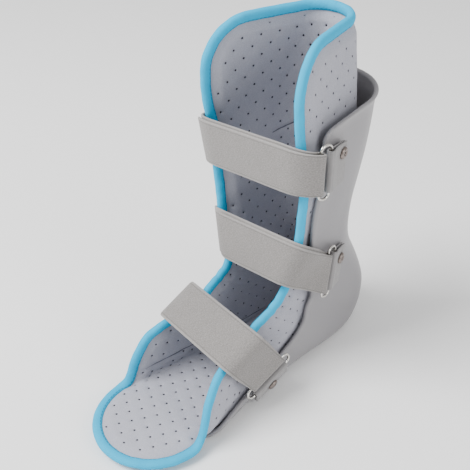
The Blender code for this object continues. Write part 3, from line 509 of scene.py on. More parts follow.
def cells(index, keep=None):
    """Faces between the rows and columns of an index array. A cell whose corners fall together
    becomes a triangle, or nothing."""
    quads = np.stack([index[:-1, :-1], index[:-1, 1:], index[1:, 1:], index[1:, :-1]], axis=-1)
    quads = quads[keep] if keep is not None else quads.reshape(-1, 4)
    same = quads == np.roll(quads, -1, axis=1)
    whole = quads[~same.any(axis=1)].tolist()
    part = quads[same.sum(axis=1) == 1]
    drop = same[same.sum(axis=1) == 1]
    return whole + part[~drop].reshape(-1, 3).tolist()


def tube_faces(rows, sides, closed):
    """Quads of a profile with this many sides carried along rows of a path."""
    row = np.arange(rows if closed else rows - 1)[:, None]
    side = np.arange(sides)[None, :]
    following, beside = (row + 1) % rows, (side + 1) % sides
    quads = np.stack([row * sides + side, row * sides + beside,
                      following * sides + beside, following * sides + side], axis=-1)
    faces = quads.reshape(-1, 4).tolist()
    if not closed:
        faces += [list(range(sides))[::-1], list(range((rows - 1) * sides, rows * sides))]
    return faces


# Materials

def finish(name, colour, roughness, metallic=0.0, sheen=0.0, coat=0.0):
    """A Principled material, and the object that adds nodes to it."""
    made = bpy.data.materials.new(name)
    made.use_nodes = True
    shader = made.node_tree.nodes["Principled BSDF"]
    for socket, value in (("Base Color", (*colour, 1.0)), ("Roughness", roughness),
                          ("Metallic", metallic), ("Sheen Weight", sheen),
                          ("Sheen Roughness", 0.5), ("Coat Weight", coat),
                          ("Coat Roughness", 0.25)):
        shader.inputs[socket].default_value = value
    return made, Nodes(made.node_tree, shader)


class Nodes:
    """Short forms for the nodes of a pattern."""

    def __init__(self, tree, shader):
        self.tree, self.shader = tree, shader
        self.places = self.add("ShaderNodeTexCoord")

    def add(self, kind, **values):
        """A node with its settings."""
        node = self.tree.nodes.new(kind)
        for name, value in values.items():
            setattr(node, name, value)
        return node

    def put(self, source, socket):
        """Link a socket, or set a number."""
        if isinstance(source, (int, float)):
            socket.default_value = source
        else:
            self.tree.links.new(source, socket)

    def calc(self, operation, *values):
        """A Math node's result."""
        node = self.add("ShaderNodeMath", operation=operation)
        for value, socket in zip(values, node.inputs):
            self.put(value, socket)
        return node.outputs[0]

    def times(self, first, second):
        """The product of two values."""
        return self.calc("MULTIPLY", first, second)

    def apart(self, first, second):
        """The distance between two values."""
        return self.calc("ABSOLUTE", self.calc("SUBTRACT", first, second))

    def less(self, share):
        """What a share leaves of 1."""
        return self.calc("SUBTRACT", 1.0, share)

    def grain(self, scale, detail, where="Object", stretch=(1.0, 1.0, 1.0)):
        """Noise from 0 to 1, with a scale per metre."""
        mapping = self.add("ShaderNodeMapping")
        mapping.inputs["Scale"].default_value = stretch
        self.put(self.places.outputs[where], mapping.inputs["Vector"])
        noise = self.add("ShaderNodeTexNoise")
        noise.inputs["Scale"].default_value = scale
        noise.inputs["Detail"].default_value = detail
        self.put(mapping.outputs[0], noise.inputs["Vector"])
        return noise.outputs["Fac"]

    def split(self):
        """The components of the UV map."""
        node = self.add("ShaderNodeSeparateXYZ")
        self.put(self.places.outputs["UV"], node.inputs[0])
        return node.outputs

    def value(self, name):
        """A named value of the mesh."""
        node = self.add("ShaderNodeAttribute", attribute_name=name)
        return node.outputs["Fac"]

    def wave(self, coordinate, pitch):
        """A sine of a coordinate in metres, from -1 to 1."""
        return self.calc("SINE", self.times(coordinate, 2 * math.pi / pitch))

    def band(self, coordinate, low, high):
        """0 below low and 1 above high, smoothly."""
        node = self.add("ShaderNodeMapRange", interpolation_type="SMOOTHSTEP")
        self.put(coordinate, node.inputs["Value"])
        node.inputs["From Min"].default_value = low
        node.inputs["From Max"].default_value = high
        return node.outputs["Result"]

    def seam(self, start, end):
        """1 on the line between two places of the UV map and 0 a little beside it: the mask of a
        line of painted shade in a crease. Along the line it fades at both ends."""
        step = (end[0] - start[0], end[1] - start[1])
        length = math.hypot(*step)
        first, second = (self.calc("SUBTRACT", self.split()[k], start[k]) for k in (0, 1))
        share = self.calc("ADD", self.times(first, step[0] / length ** 2),
                          self.times(second, step[1] / length ** 2))
        away = self.calc("SUBTRACT", self.times(first, step[1] / length),
                         self.times(second, step[0] / length))
        wander = self.times(self.calc("SUBTRACT", self.grain(70.0, 2.0), 0.5), 0.0022)
        away = self.calc("ABSOLUTE", self.calc("ADD", away, wander))
        inside = self.times(self.band(share, -0.03, 0.05), self.less(self.band(share, 0.85, 1.0)))
        return self.times(inside, self.less(self.band(away, 0.0002, 0.0010)))

    def mix(self, share, first, second):
        """Between two colours, each a socket or a colour."""
        node = self.add("ShaderNodeMix", data_type="RGBA")
        self.put(share, node.inputs["Factor"])
        for source, socket in ((first, node.inputs[6]), (second, node.inputs[7])):
            if isinstance(source, tuple):
                socket.default_value = (*source, 1.0)
            else:
                self.tree.links.new(source, socket)
        return node.outputs[2]

    def colour(self, source):
        """Use a colour on the shader."""
        self.tree.links.new(source, self.shader.inputs["Base Color"])

    def bump(self, height, distance, strength, under=None):
        """Relief of a height pattern, over another one."""
        node = self.add("ShaderNodeBump")
        node.inputs["Strength"].default_value = strength
        node.inputs["Distance"].default_value = distance
        self.put(height, node.inputs["Height"])
        if under is not None:
            self.put(under, node.inputs["Normal"])
        self.put(node.outputs[0], self.shader.inputs["Normal"])
        return node.outputs[0]


def liner_finish():
    """Padded knit: fine mottled loops, lavender grey, with painted shade inside its punched holes
    and a fine line of painted shade in the crease between the sole and the far wing and in one more
    crease."""
    made, nodes = finish("padded_knit", (0.40, 0.41, 0.46), 0.95, sheen=0.14)
    loops = nodes.grain(1500.0, 2.0)
    patches = nodes.grain(55.0, 3.0)
    tone = nodes.mix(patches, (0.285, 0.291, 0.345), (0.345, 0.35, 0.40))
    tone = nodes.mix(nodes.band(loops, 0.35, 0.75), tone, (0.40, 0.40, 0.45))
    # painted shade: a fine dark line along two of the liner's creases
    for crease in (CREASES[0], CREASES[3]):
        tone = nodes.mix(nodes.times(nodes.seam(*crease[:2]), 0.8), tone, (0.03, 0.03, 0.045))
    # painted shade: near black inside the punched holes
    tone = nodes.mix(nodes.value("punched"), tone, (0.035, 0.035, 0.05))
    nodes.colour(tone)
    under = nodes.bump(nodes.grain(260.0, 4.0), 0.0003, 0.5)
    nodes.bump(loops, 0.00015, 0.6, under)
    return made


def tape_finish():
    """Edge tape: light blue, ribbed across, with a dark row of stitches beside its inner edges."""
    made, nodes = finish("edge_tape", (0.0, 0.39, 0.64), 0.78)
    nodes.shader.inputs["Specular IOR Level"].default_value = 0.15
    along, around = nodes.split()[0], nodes.split()[1]
    tone = nodes.mix(nodes.grain(90.0, 2.0), (0.0, 0.35, 0.60), (0.0, 0.43, 0.70))
    inner = nodes.apart(around, 0.5)
    # painted shade along the tape's inner side, where it meets the liner
    shade = nodes.times(nodes.band(inner, 0.30, 0.42), 0.45)
    tone = nodes.mix(shade, tone, (0.0, 0.15, 0.26))
    row = nodes.less(nodes.band(nodes.apart(inner, 0.345), 0.006, 0.022))
    dash = nodes.band(nodes.wave(along, STITCH_PITCH), -0.7, -0.2)
    tone = nodes.mix(nodes.times(nodes.times(row, dash), 0.7), tone, (0.012, 0.12, 0.22))
    nodes.colour(tone)
    under = nodes.bump(nodes.wave(along, 0.0006), 0.00006, 0.6)
    nodes.bump(nodes.grain(700.0, 2.0), 0.0001, 0.5, under)
    return made


def shell_finish():
    """Moulded shell: satin grey plastic with a faint even grain and soft cloudiness."""
    made, nodes = finish("moulded_shell", (0.33, 0.32, 0.33), 0.42, coat=0.12)
    clouds = nodes.grain(14.0, 2.0)
    nodes.colour(nodes.mix(clouds, (0.225, 0.217, 0.228), (0.25, 0.242, 0.252)))
    rough = nodes.calc("MULTIPLY_ADD", nodes.grain(400.0, 2.0), 0.14, 0.36)
    nodes.put(rough, nodes.shader.inputs["Roughness"])
    nodes.bump(nodes.grain(1300.0, 2.0), 0.00004, 0.5)
    return made


def strap_finish():
    """Brushed loop webbing: matted fibres, a paler woven edge and a faint weave along it."""
    made, nodes = finish("brushed_strap", (0.31, 0.295, 0.285), 0.97, sheen=0.18)
    fibres = nodes.grain(900.0, 4.0, "UV", (0.7, 1.6, 1.0))
    patches = nodes.grain(120.0, 3.0)
    tone = nodes.mix(patches, (0.155, 0.146, 0.140), (0.205, 0.194, 0.187))
    tone = nodes.mix(nodes.band(fibres, 0.35, 0.72), tone, (0.28, 0.265, 0.255))
    across = nodes.calc("ABSOLUTE", nodes.split()[1])
    border = nodes.band(across, STRAP_WIDTH / 2 - 0.0024, STRAP_WIDTH / 2 - 0.0012)
    tone = nodes.mix(nodes.times(border, 0.5), tone, (0.33, 0.315, 0.305))
    hem = nodes.less(nodes.band(nodes.apart(across, STRAP_WIDTH / 2 - HEM), 0.0002, 0.0006))
    tone = nodes.mix(nodes.times(hem, 0.45), tone, (0.09, 0.085, 0.08))
    nodes.colour(tone)
    weave = nodes.times(nodes.wave(nodes.split()[0], 0.0011), nodes.wave(nodes.split()[1], 0.0016))
    under = nodes.bump(weave, 0.00007, 0.5)
    nodes.bump(fibres, 0.00045, 0.8, under)
    return made


def tab_finish():
    """Tab webbing: grey, with fine ribs along it and soft flutes along the ring, their crests
    lighter by painted highlight.
    """
    made, nodes = finish("tab_webbing", (0.34, 0.33, 0.33), 0.85, sheen=0.2)
    tone = nodes.mix(nodes.grain(160.0, 3.0), (0.20, 0.193, 0.193), (0.27, 0.26, 0.26))
    # painted highlight: lighter on the crests of the flutes, in step with their relief
    flute = nodes.band(nodes.wave(nodes.split()[0], FLUTE_PITCH), 0.1, 1.0)
    tone = nodes.mix(nodes.times(flute, 0.25), tone, (0.38, 0.365, 0.37))
    nodes.colour(tone)
    under = nodes.bump(nodes.wave(nodes.split()[1], 0.0009), 0.00008, 0.6)
    nodes.bump(nodes.grain(1100.0, 3.0), 0.0002, 0.6, under)
    return made


def wire_finish():
    """Ring wire: bright plating with faint handling marks."""
    made, nodes = finish("bright_wire", (0.66, 0.64, 0.60), 0.13, metallic=1.0)
    nodes.bump(nodes.grain(260.0, 2.0), 0.00002, 0.3)
    return made


def rivet_finish():
    """Rivets: dull brownish metal, with painted shade in the hollow."""
    made, nodes = finish("dull_rivet", (0.42, 0.35, 0.32), 0.34, metallic=1.0)
    tone = nodes.mix(nodes.grain(500.0, 3.0), (0.17, 0.14, 0.125), (0.28, 0.24, 0.22))
    # painted shade: near black in the rivet's hollow
    tone = nodes.mix(nodes.value("hollow"), tone, (0.03, 0.026, 0.024))
    nodes.colour(tone)
    nodes.bump(nodes.grain(900.0, 2.0), 0.00004, 0.4)
    return made


def thread_finish():
    """Sewing thread, a little darker than the straps."""
    made, nodes = finish("sewing_thread", (0.26, 0.25, 0.25), 0.8, sheen=0.2)
    nodes.bump(nodes.grain(2500.0, 1.0), 0.00005, 0.5)
    return made


# Liner

def crease_relief(s, p):
    """How far the inner face sinks at the creases, and the distance to the nearest one: a bell
    shaped groove on each crease, with a wider swell beside it."""
    sink = np.zeros(s.shape)
    close = np.full(s.shape, 1.0)
    for row in CREASES:
        crease = dict(zip(CREASE_COLUMNS, row))
        start, end = np.array(crease["start"]), np.array(crease["end"])
        step = end - start
        share = ((s - start[0]) * step[0] + (p - start[1]) * step[1]) / (step @ step)
        held = np.clip(share, 0.0, 1.0)
        away = np.hypot(s - start[0] - held * step[0], p - start[1] - held * step[1])
        fade = np.clip(3.0 - 4 * np.abs(share - 0.5), 0.0, 1.0)
        width = crease["width"]
        sink += crease["depth"] * fade * np.exp(-(away / width) ** 2)
        sink -= crease["swell"] * np.exp(-(away / (4 * width)) ** 2)
        close = np.minimum(close, away)
    return sink, close


def lattice_holes(s, p, points, along, across, allowed):
    """The grid points nearest to the lattices' nodes, each node's offset from its point, and the
    half height in rows of the block of cells that its hole takes."""
    found = []
    for row in HOLES:
        lattice = dict(zip(HOLE_COLUMNS, row))
        reach = np.abs(p)
        zone = (allowed & (s >= lattice["from_s"]) & (s < lattice["to_s"])
                & (reach >= lattice["from_p"]) & (reach < lattice["to_p"]))
        chosen = np.argwhere(zone)
        if lattice["plane"] == "sp":
            plane = np.stack([s, p], axis=-1)
        else:
            plane = points[..., 1:]
        spots = plane[zone]
        basis = np.array([lattice["first"], lattice["second"]])
        counts = np.linalg.solve(basis.T, (spots - np.array(lattice["hole"])).T).T
        for side in (1, -1) if lattice["plane"] == "yz" else (0,):
            own = np.sign(p[zone]) == side if side else np.ones(len(spots), bool)
            if not own.any():
                continue
            nodes = np.unique(np.round(counts[own]).astype(int), axis=0)
            target = nodes @ basis + np.array(lattice["hole"])
            away = np.linalg.norm(spots[own][None] - target[:, None], axis=-1)
            best = away.argmin(axis=1)
            near = away.min(axis=1) < FABRIC_STEP * 0.75
            rows = chosen[own][best[near]]
            shift = (target - spots[own][best])[near]
            if lattice["plane"] == "sp":
                moved = (across[rows[:, 0], rows[:, 1]] * shift[:, 1:]
                         + along[rows[:, 0], rows[:, 1]] * shift[:, :1])
            else:
                moved = np.concatenate([np.zeros((len(shift), 1)), shift], axis=1)
            found.append((rows, moved))
    rows = np.concatenate([item[0] for item in found])
    moved = np.concatenate([item[1] for item in found])
    order = np.arange(len(rows))
    row_gap = np.linalg.norm(points[2:] - points[:-2], axis=-1)[rows[:, 0] - 1, rows[:, 1]] / 2
    block = np.clip(np.round(FABRIC_STEP / row_gap).astype(int), 1, 3)
    spots = points[rows[:, 0], rows[:, 1]]
    gap = np.linalg.norm(spots[:, None] - spots[None], axis=-1)
    apart = np.abs(rows[:, None] - rows[None])
    meet = (apart[..., 1] < 3) & (apart[..., 0] < block[:, None] + block[None] + 1)
    clash = (meet | (gap < HOLE_LEAST)) & (order[None] < order[:, None])
    kept = ~clash.any(axis=1)
    return rows[kept], moved[kept], block[kept]


def punch(index, points, uv, marks, rows, moved, along, across, inward, keep, reach):
    """Cut holes of one block size into a face. The block's rim is joined to rings of points round
    the hole, each sunk along its profile, and the last ring is closed by one face."""
    row, column = rows[:, 0], rows[:, 1]
    up = [(-reach, k) for k in range(-1, 1)] + [(k, 1) for k in range(-reach, reach)]
    rim = np.array(up + [(-a, -b) for a, b in up])
    rim_ids = index[row[:, None] + rim[:, 0], column[:, None] + rim[:, 1]]
    centre = points[index[row, column]] + moved
    ahead, aside = along[row, column], across[row, column]
    offset = points[rim_ids] - centre[:, None]
    turn = np.arctan2((offset * ahead[:, None]).sum(-1), (offset * aside[:, None]).sum(-1))
    radial = (np.cos(turn)[..., None] * aside[:, None] + np.sin(turn)[..., None] * ahead[:, None])
    base = len(points)
    before, faces, new, sides = rim_ids, [], [], rim_ids.shape[1]
    sunk = []
    for share, depth in HOLE_RINGS:
        ring = centre[:, None] + radial * HOLE_RADIUS * share + inward[row, column][:, None] * depth
        ids = base + np.arange(ring.shape[0] * sides).reshape(-1, sides)
        base += ring.shape[0] * sides
        new.append(ring.reshape(-1, 3))
        # the sunk rings are marked for the painted shade inside the holes
        sunk.append(np.full(ring.shape[0] * sides, 1.0 if depth > HOLE_RINGS[0][1] else 0.0))
        quads = np.stack([before, np.roll(before, -1, axis=1), np.roll(ids, -1, axis=1), ids],
                         axis=-1)
        faces += quads.reshape(-1, 4).tolist()
        before = ids
    faces += before.tolist()
    for a in range(-reach, reach):
        for b in (-1, 0):
            keep[row + a, column + b] = False
    uv_rows = np.repeat(uv[index[row, column]], sides, axis=0)
    return (np.concatenate([points] + new), np.concatenate([uv] + [uv_rows] * len(HOLE_RINGS)),
            np.concatenate([marks] + sunk), faces)


def liner_grid():
    """The liner's grid of spine and section distances, FABRIC_STEP apart, the numbers of its inner
    and outer points, and its rim, where both are the same. The edge is drawn in by EDGE_TUCK under
    the tape, and the points of a row that lie past it fall together there."""
    top = TOP_CORNER * (1 - np.sin(np.linspace(math.pi / 2, 0.0, 22)))
    toe = TOE_START + TOE_ROUND * np.sin(np.linspace(0.0, math.radians(84), 30))
    body = np.linspace(TOP_CORNER, TOE_START, int((TOE_START - TOP_CORNER) / FABRIC_STEP) + 2)
    s = np.concatenate([top[:-1], body[:-1], toe])
    length = liner_outline(s)
    edge = length - EDGE_TUCK
    upper, lower = s < TOP_CORNER, s > TOE_START
    shrink = (TOP_CORNER - EDGE_TUCK) / TOP_CORNER
    corner = girth(liner_ribs_at(s)) - length
    edge[upper] = (length + corner * (1 - shrink) - EDGE_TUCK)[upper]
    end = liner_outline(TOE_START)
    edge[lower] = (length * (end - EDGE_TUCK) / end)[lower]
    rows = s.copy()
    rows[upper] = EDGE_TUCK + s[upper] * shrink
    rows[lower] = TOE_START + (s[lower] - TOE_START) * (TOE_ROUND - EDGE_TUCK) / TOE_ROUND
    half = int(edge.max() / FABRIC_STEP) + 2
    lines = np.arange(-half, half + 1) * FABRIC_STEP
    p = np.clip(lines[None, :], -edge[:, None], edge[:, None])
    s_grid = np.repeat(rows[:, None], p.shape[1], axis=1)
    past = np.abs(lines)[None, :] > edge[:, None] - 0.3 * FABRIC_STEP
    p = np.where(past, np.sign(p) * edge[:, None], p)
    order = np.arange(p.size).reshape(p.shape)
    columns = np.arange(p.shape[1])[None, :]
    first = np.argmin(past & (p < 0), axis=1)[:, None] - 1
    last = p.shape[1] - np.argmin((past & (p > 0))[:, ::-1], axis=1)[:, None]
    inner_id = np.where(columns < first, np.take_along_axis(order, first, axis=1), order)
    inner_id = np.where(columns > last, np.take_along_axis(order, last, axis=1), inner_id)
    rim = (columns <= first) | (columns >= last)
    rim[0], rim[-1] = True, True
    return s_grid, p, inner_id, np.where(rim, inner_id, inner_id + p.size), rim


def liner():
    """The padded liner: two grids that meet in one rim under the tape. From there the wall swells
    with a power of the distance. Soft unevenness, creases and a dip round every punched hole move
    its faces along the normal."""
    s_grid, p, inner_id, outer_id, rim = liner_grid()
    across, along, outward = directions(liner_ribs_at, s_grid, p)
    middle = form(liner_ribs_at(s_grid), p) - outward * MIDDLE_INSET
    away = nearest(middle.reshape(-1, 3), np.unique(middle[rim], axis=0)).reshape(p.shape)
    away[rim] = 0.0
    half_wall = LINER_WALL / 2 * np.clip(away / PAD_ROUND, 0.0, 1.0) ** PAD_POWER
    sink, crease_gap = crease_relief(s_grid, p)
    settled = np.clip((away - SETTLE_FROM) / SETTLE_RUN, 0.0, 1.0)
    waves = PUFF * (ripple(s_grid, p, PUFF_WIDE, 3) + 0.6 * ripple(s_grid, p, PUFF_SMALL, 5))
    rim_gap = np.abs(p) - ribs_at(s_grid)["shell"] * girth(ribs_at(s_grid))
    shown = (rim_gap >= -RIM_COVER) | (s_grid <= RIM + RIM_COVER)
    parted = RIM_PART * np.exp(-(rim_gap / RIM_PART_WIDTH) ** 2) * (s_grid > RIM + RIM_PART_TOP)
    inner_rise = half_wall - settled * (sink + waves)
    outer_rise = half_wall + settled * (np.where(shown, 0.5 * waves, 0.0) - parted)

    allowed = (away > HOLE_EDGE) & (crease_gap > HOLE_CREASE)
    allowed[:4], allowed[-4:] = False, False
    holes, moved, block = lattice_holes(s_grid, p, middle, along, across, allowed)
    centres = middle[holes[:, 0], holes[:, 1]] + moved
    dip = PUCKER_DEPTH * np.exp(-(nearest(middle.reshape(-1, 3), centres).reshape(p.shape)
                                  / PUCKER_REACH) ** 2)
    inner = middle - outward * (inner_rise - dip)[..., None]
    outer = middle + outward * (outer_rise - np.where(shown, dip, 0.0))[..., None]

    points = np.concatenate([inner.reshape(-1, 3), outer.reshape(-1, 3)])
    uv = np.stack([s_grid, p], axis=-1).reshape(-1, 2)
    uv = np.concatenate([uv, uv])
    marks = np.zeros(len(points))
    faces = []
    for index, own, into in ((inner_id, np.ones(len(holes), bool), outward),
                             (outer_id, shown[holes[:, 0], holes[:, 1]], -outward)):
        keep = np.ones((p.shape[0] - 1, p.shape[1] - 1), bool)
        for reach in (1, 2, 3):
            chosen = own & (block == reach)
            if chosen.any():
                points, uv, marks, made = punch(index, points, uv, marks, holes[chosen],
                                                moved[chosen], along, across, into, keep, reach)
                faces += made
        faces += cells(index, keep)
    used, faces = compact(faces, len(points))
    # the punched mark carries the painted shade inside the holes
    obj = piece("liner_padded", points[used], faces, liner_finish(), "liner",
                uv[used], {"punched": marks[used]}, 60)


# Edge tape

def edge_loop():
    """The bound edge's middle line and its outward direction: half of the outline over the spine
    and section distances, from the middle of the top to the toe, and its mirror image."""
    top_end = float(liner_outline(np.array([0.0]))[0])
    turn = np.linspace(0.0, math.pi / 2, 40)
    straight = np.linspace(0.0, top_end, 60)[:-1]
    corner = TOP_CORNER * (1 - np.cos(turn))
    side = np.linspace(TOP_CORNER, TOE_START, 400)[1:-1]
    toe = TOE_START + TOE_ROUND * np.sin(np.linspace(0.0, math.pi / 2, 70))
    s = np.concatenate([np.zeros(len(straight)), corner, side, toe])
    p = np.concatenate([straight, liner_outline(np.concatenate([corner, side, toe]))])
    s = np.concatenate([s, s[::-1][1:-1]])
    p = np.concatenate([p, -p[::-1][1:-1]])
    outward = directions(liner_ribs_at, s, p)[2]
    lines = np.concatenate([form(liner_ribs_at(s), p) - outward * MIDDLE_INSET, outward], axis=1)
    lines = np.concatenate([lines, lines[:1]])
    length = lengths(lines[:, :3])
    at = np.linspace(0.0, length[-1], int(length[-1] / TAPE_STEP) + 1)[:-1]
    loop = blurred(read(at, length, lines), TAPE_EASE / TAPE_STEP, closed=True)
    return loop[:, :3], unit(loop[:, 3:]), length[-1]


def tape():
    """The folded edge tape: a rounded profile, flatter at its sewn inner edge, carried round the
    bound edge. It draws in a little at every stitch."""
    middle, outward, total = edge_loop()
    ahead = loop_ahead(middle)
    beyond = unit(np.cross(ahead, outward))
    beyond *= np.sign(beyond[0, 2])
    up = np.cross(beyond, ahead)
    at = np.arange(len(middle)) * total / len(middle)
    turn = np.linspace(0.0, 2 * math.pi, TAPE_SIDES + 1)[:-1][None, :]
    pull = TAPE_PULL * np.sin(math.pi * at / STITCH_PITCH)[:, None]
    lump = TAPE_LUMP * ripple(at[:, None], turn * 0.004, 0.016, 11)
    wide = TAPE_WIDTH / 2 + lump
    inner_side = np.clip(-np.cos(turn), 0.0, 1.0)
    thick = TAPE_THICK / 2 * (0.94 - 0.10 * inner_side)
    out = np.sign(np.cos(turn)) * np.abs(np.cos(turn)) ** 0.9 * wide
    high = np.sign(np.sin(turn)) * np.abs(np.sin(turn)) ** 0.9 * (thick + lump - pull * inner_side)
    points = middle[:, None] + beyond[:, None] * out[..., None] + up[:, None] * high[..., None]
    uv = np.stack([np.repeat(at[:, None], TAPE_SIDES, axis=1),
                   np.repeat((turn / (2 * math.pi) + 0.5) % 1.0, len(at), axis=0)], axis=-1)
    piece("binding_tape", points.reshape(-1, 3), tube_faces(len(middle), TAPE_SIDES, True),
          tape_finish(), "binding", uv.reshape(-1, 2), angle=60)


# Shell

def shell_grid():
    """The shell's grid: spine distances, the section length to its edge at each, and section
    distances. The upper corners and the toe are round, and the grid's outer lines lie as close as
    the half round rim needs them."""
    nose = RIM_RADIUS * (1 - np.cos(np.linspace(0.0, math.pi / 2, 6)))
    corner = SHELL_CORNER * (1 - np.sin(np.linspace(math.pi / 2, 0.0, 16)))
    start = np.unique(np.concatenate([nose, corner]))
    body = np.linspace(start[-1], SHELL_END - RIM - RIM_RADIUS, 210)[1:-1]
    s = RIM + np.concatenate([start, body, (SHELL_END - RIM) - nose[::-1]])
    run = np.clip((s - TOE_START) / TOE_ROUND, 0.0, 1.0)
    spine = TABLE["spine"]
    full = (ribs_at(spine)["shell"] * girth(ribs_at(spine)))[:, None]
    full = eased_curves(full, spine, RIM_SPREAD)[:, 0]
    edge = np.interp(s, spine, full) * np.sqrt(1 - run ** 2)
    rise = np.clip(SHELL_CORNER - (s - RIM), 0.0, SHELL_CORNER)
    edge = edge - (SHELL_CORNER - np.sqrt(SHELL_CORNER ** 2 - rise ** 2))
    half = np.concatenate([np.linspace(0.0, 1.0, 46)[None, :-1] * (edge - RIM_RADIUS)[:, None],
                           edge[:, None] - nose[::-1][None]], axis=1)
    return s, edge, np.concatenate([-half[:, :0:-1], half], axis=1)


def shell():
    """The moulded shell: two grids, a wall apart, that meet in a half round rim with a slight
    bead. The rim turns out and rises at the back with squares of what is left of their reach, and
    a cosine across the calf gives faint flutes."""
    s, edge, p = shell_grid()
    q = p / edge[:, None]
    below = (s - RIM)[:, None]
    fade = np.clip(1 - below / (4 * SHELL_CORNER), 0.0, 1.0)
    raised = s[:, None] - RIM_RISE * fade * (1 - q ** 2)
    flare = LIP_FLARE * np.clip(1 - below / LIP_DEPTH, 0.0, 1.0) ** 2
    outward = directions(ribs_at, raised, p)[2]
    face = form(ribs_at(raised), p)
    rim = np.zeros(p.shape, bool)
    rim[0], rim[-1], rim[:, 0], rim[:, -1] = True, True, True, True
    border = np.concatenate([face[0], face[1:, -1], face[-1, ::-1][1:], face[::-1, 0][1:]])
    border = even(border, BORDER_STEP, closed=True)
    gap = np.minimum(np.minimum(edge[:, None] - np.abs(p), below), SHELL_END - s[:, None])
    check = gap < EDGE_REACH
    away = np.ones(p.shape)
    away[check] = nearest(face[check], border)
    away[rim] = 0.0
    bead = BEAD * np.exp(-(np.clip(away - BEAD_FLAT, 0.0, 1.0) / BEAD_FADE) ** 2)
    share = np.clip(away / RIM_RADIUS, 0.0, 1.0)
    thick = (SHELL_WALL / 2 + bead) * np.sqrt(1 - (1 - share) ** 2)
    calf = np.clip((FACET_END * SPINE_END - s[:, None]) / FACET_FADE, 0, 1)
    facets = FACET_DEPTH * np.cos(p / FACET_PITCH) * calf
    middle = face + outward * (flare - SHELL_WALL / 2)[..., None]
    outer = middle + outward * (thick + facets * (share >= 1))[..., None]
    outer[..., 2] = np.maximum(outer[..., 2], 0.0)
    inner = middle - outward * thick[..., None]
    index = np.arange(p.size).reshape(p.shape)
    inner_id = np.where(rim, index, index + p.size)
    points = np.concatenate([outer.reshape(-1, 3), inner.reshape(-1, 3)])
    used, faces = compact(cells(index) + cells(inner_id), len(points))
    piece("shell_moulded", points[used], faces, shell_finish(), "shell", angle=60)


# Straps and tabs

def strap_rows():
    """The straps with their lengths in metres."""
    straps = [dict(zip(STRAP_COLUMNS, row)) for row in STRAPS]
    for strap in straps:
        strap["back"] *= HEEL_REACH
        strap["up"] *= LINER_HEIGHT
        for length in ("tab_rivet", "strap_rivet", "rivet_up", "bow"):
            strap[length] *= STRAP_WIDTH
    return straps


def brace_points():
    """Points all over the shell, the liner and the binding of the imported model: a corner and
    three places along each side of their triangles."""
    found = []
    for name in ("shell", "liner", "binding"):
        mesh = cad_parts[name].data
        places = np.zeros(len(mesh.vertices) * 3)
        mesh.vertices.foreach_get("co", places)
        places = places.reshape(-1, 3)
        ends = np.zeros(len(mesh.edges) * 2, np.int32)
        mesh.edges.foreach_get("vertices", ends)
        ends = ends.reshape(-1, 2)
        for share in (0.0, 0.25, 0.5, 0.75):
            found.append(places[ends[:, 0]] * (1 - share) + places[ends[:, 1]] * share)
    return np.concatenate(found)


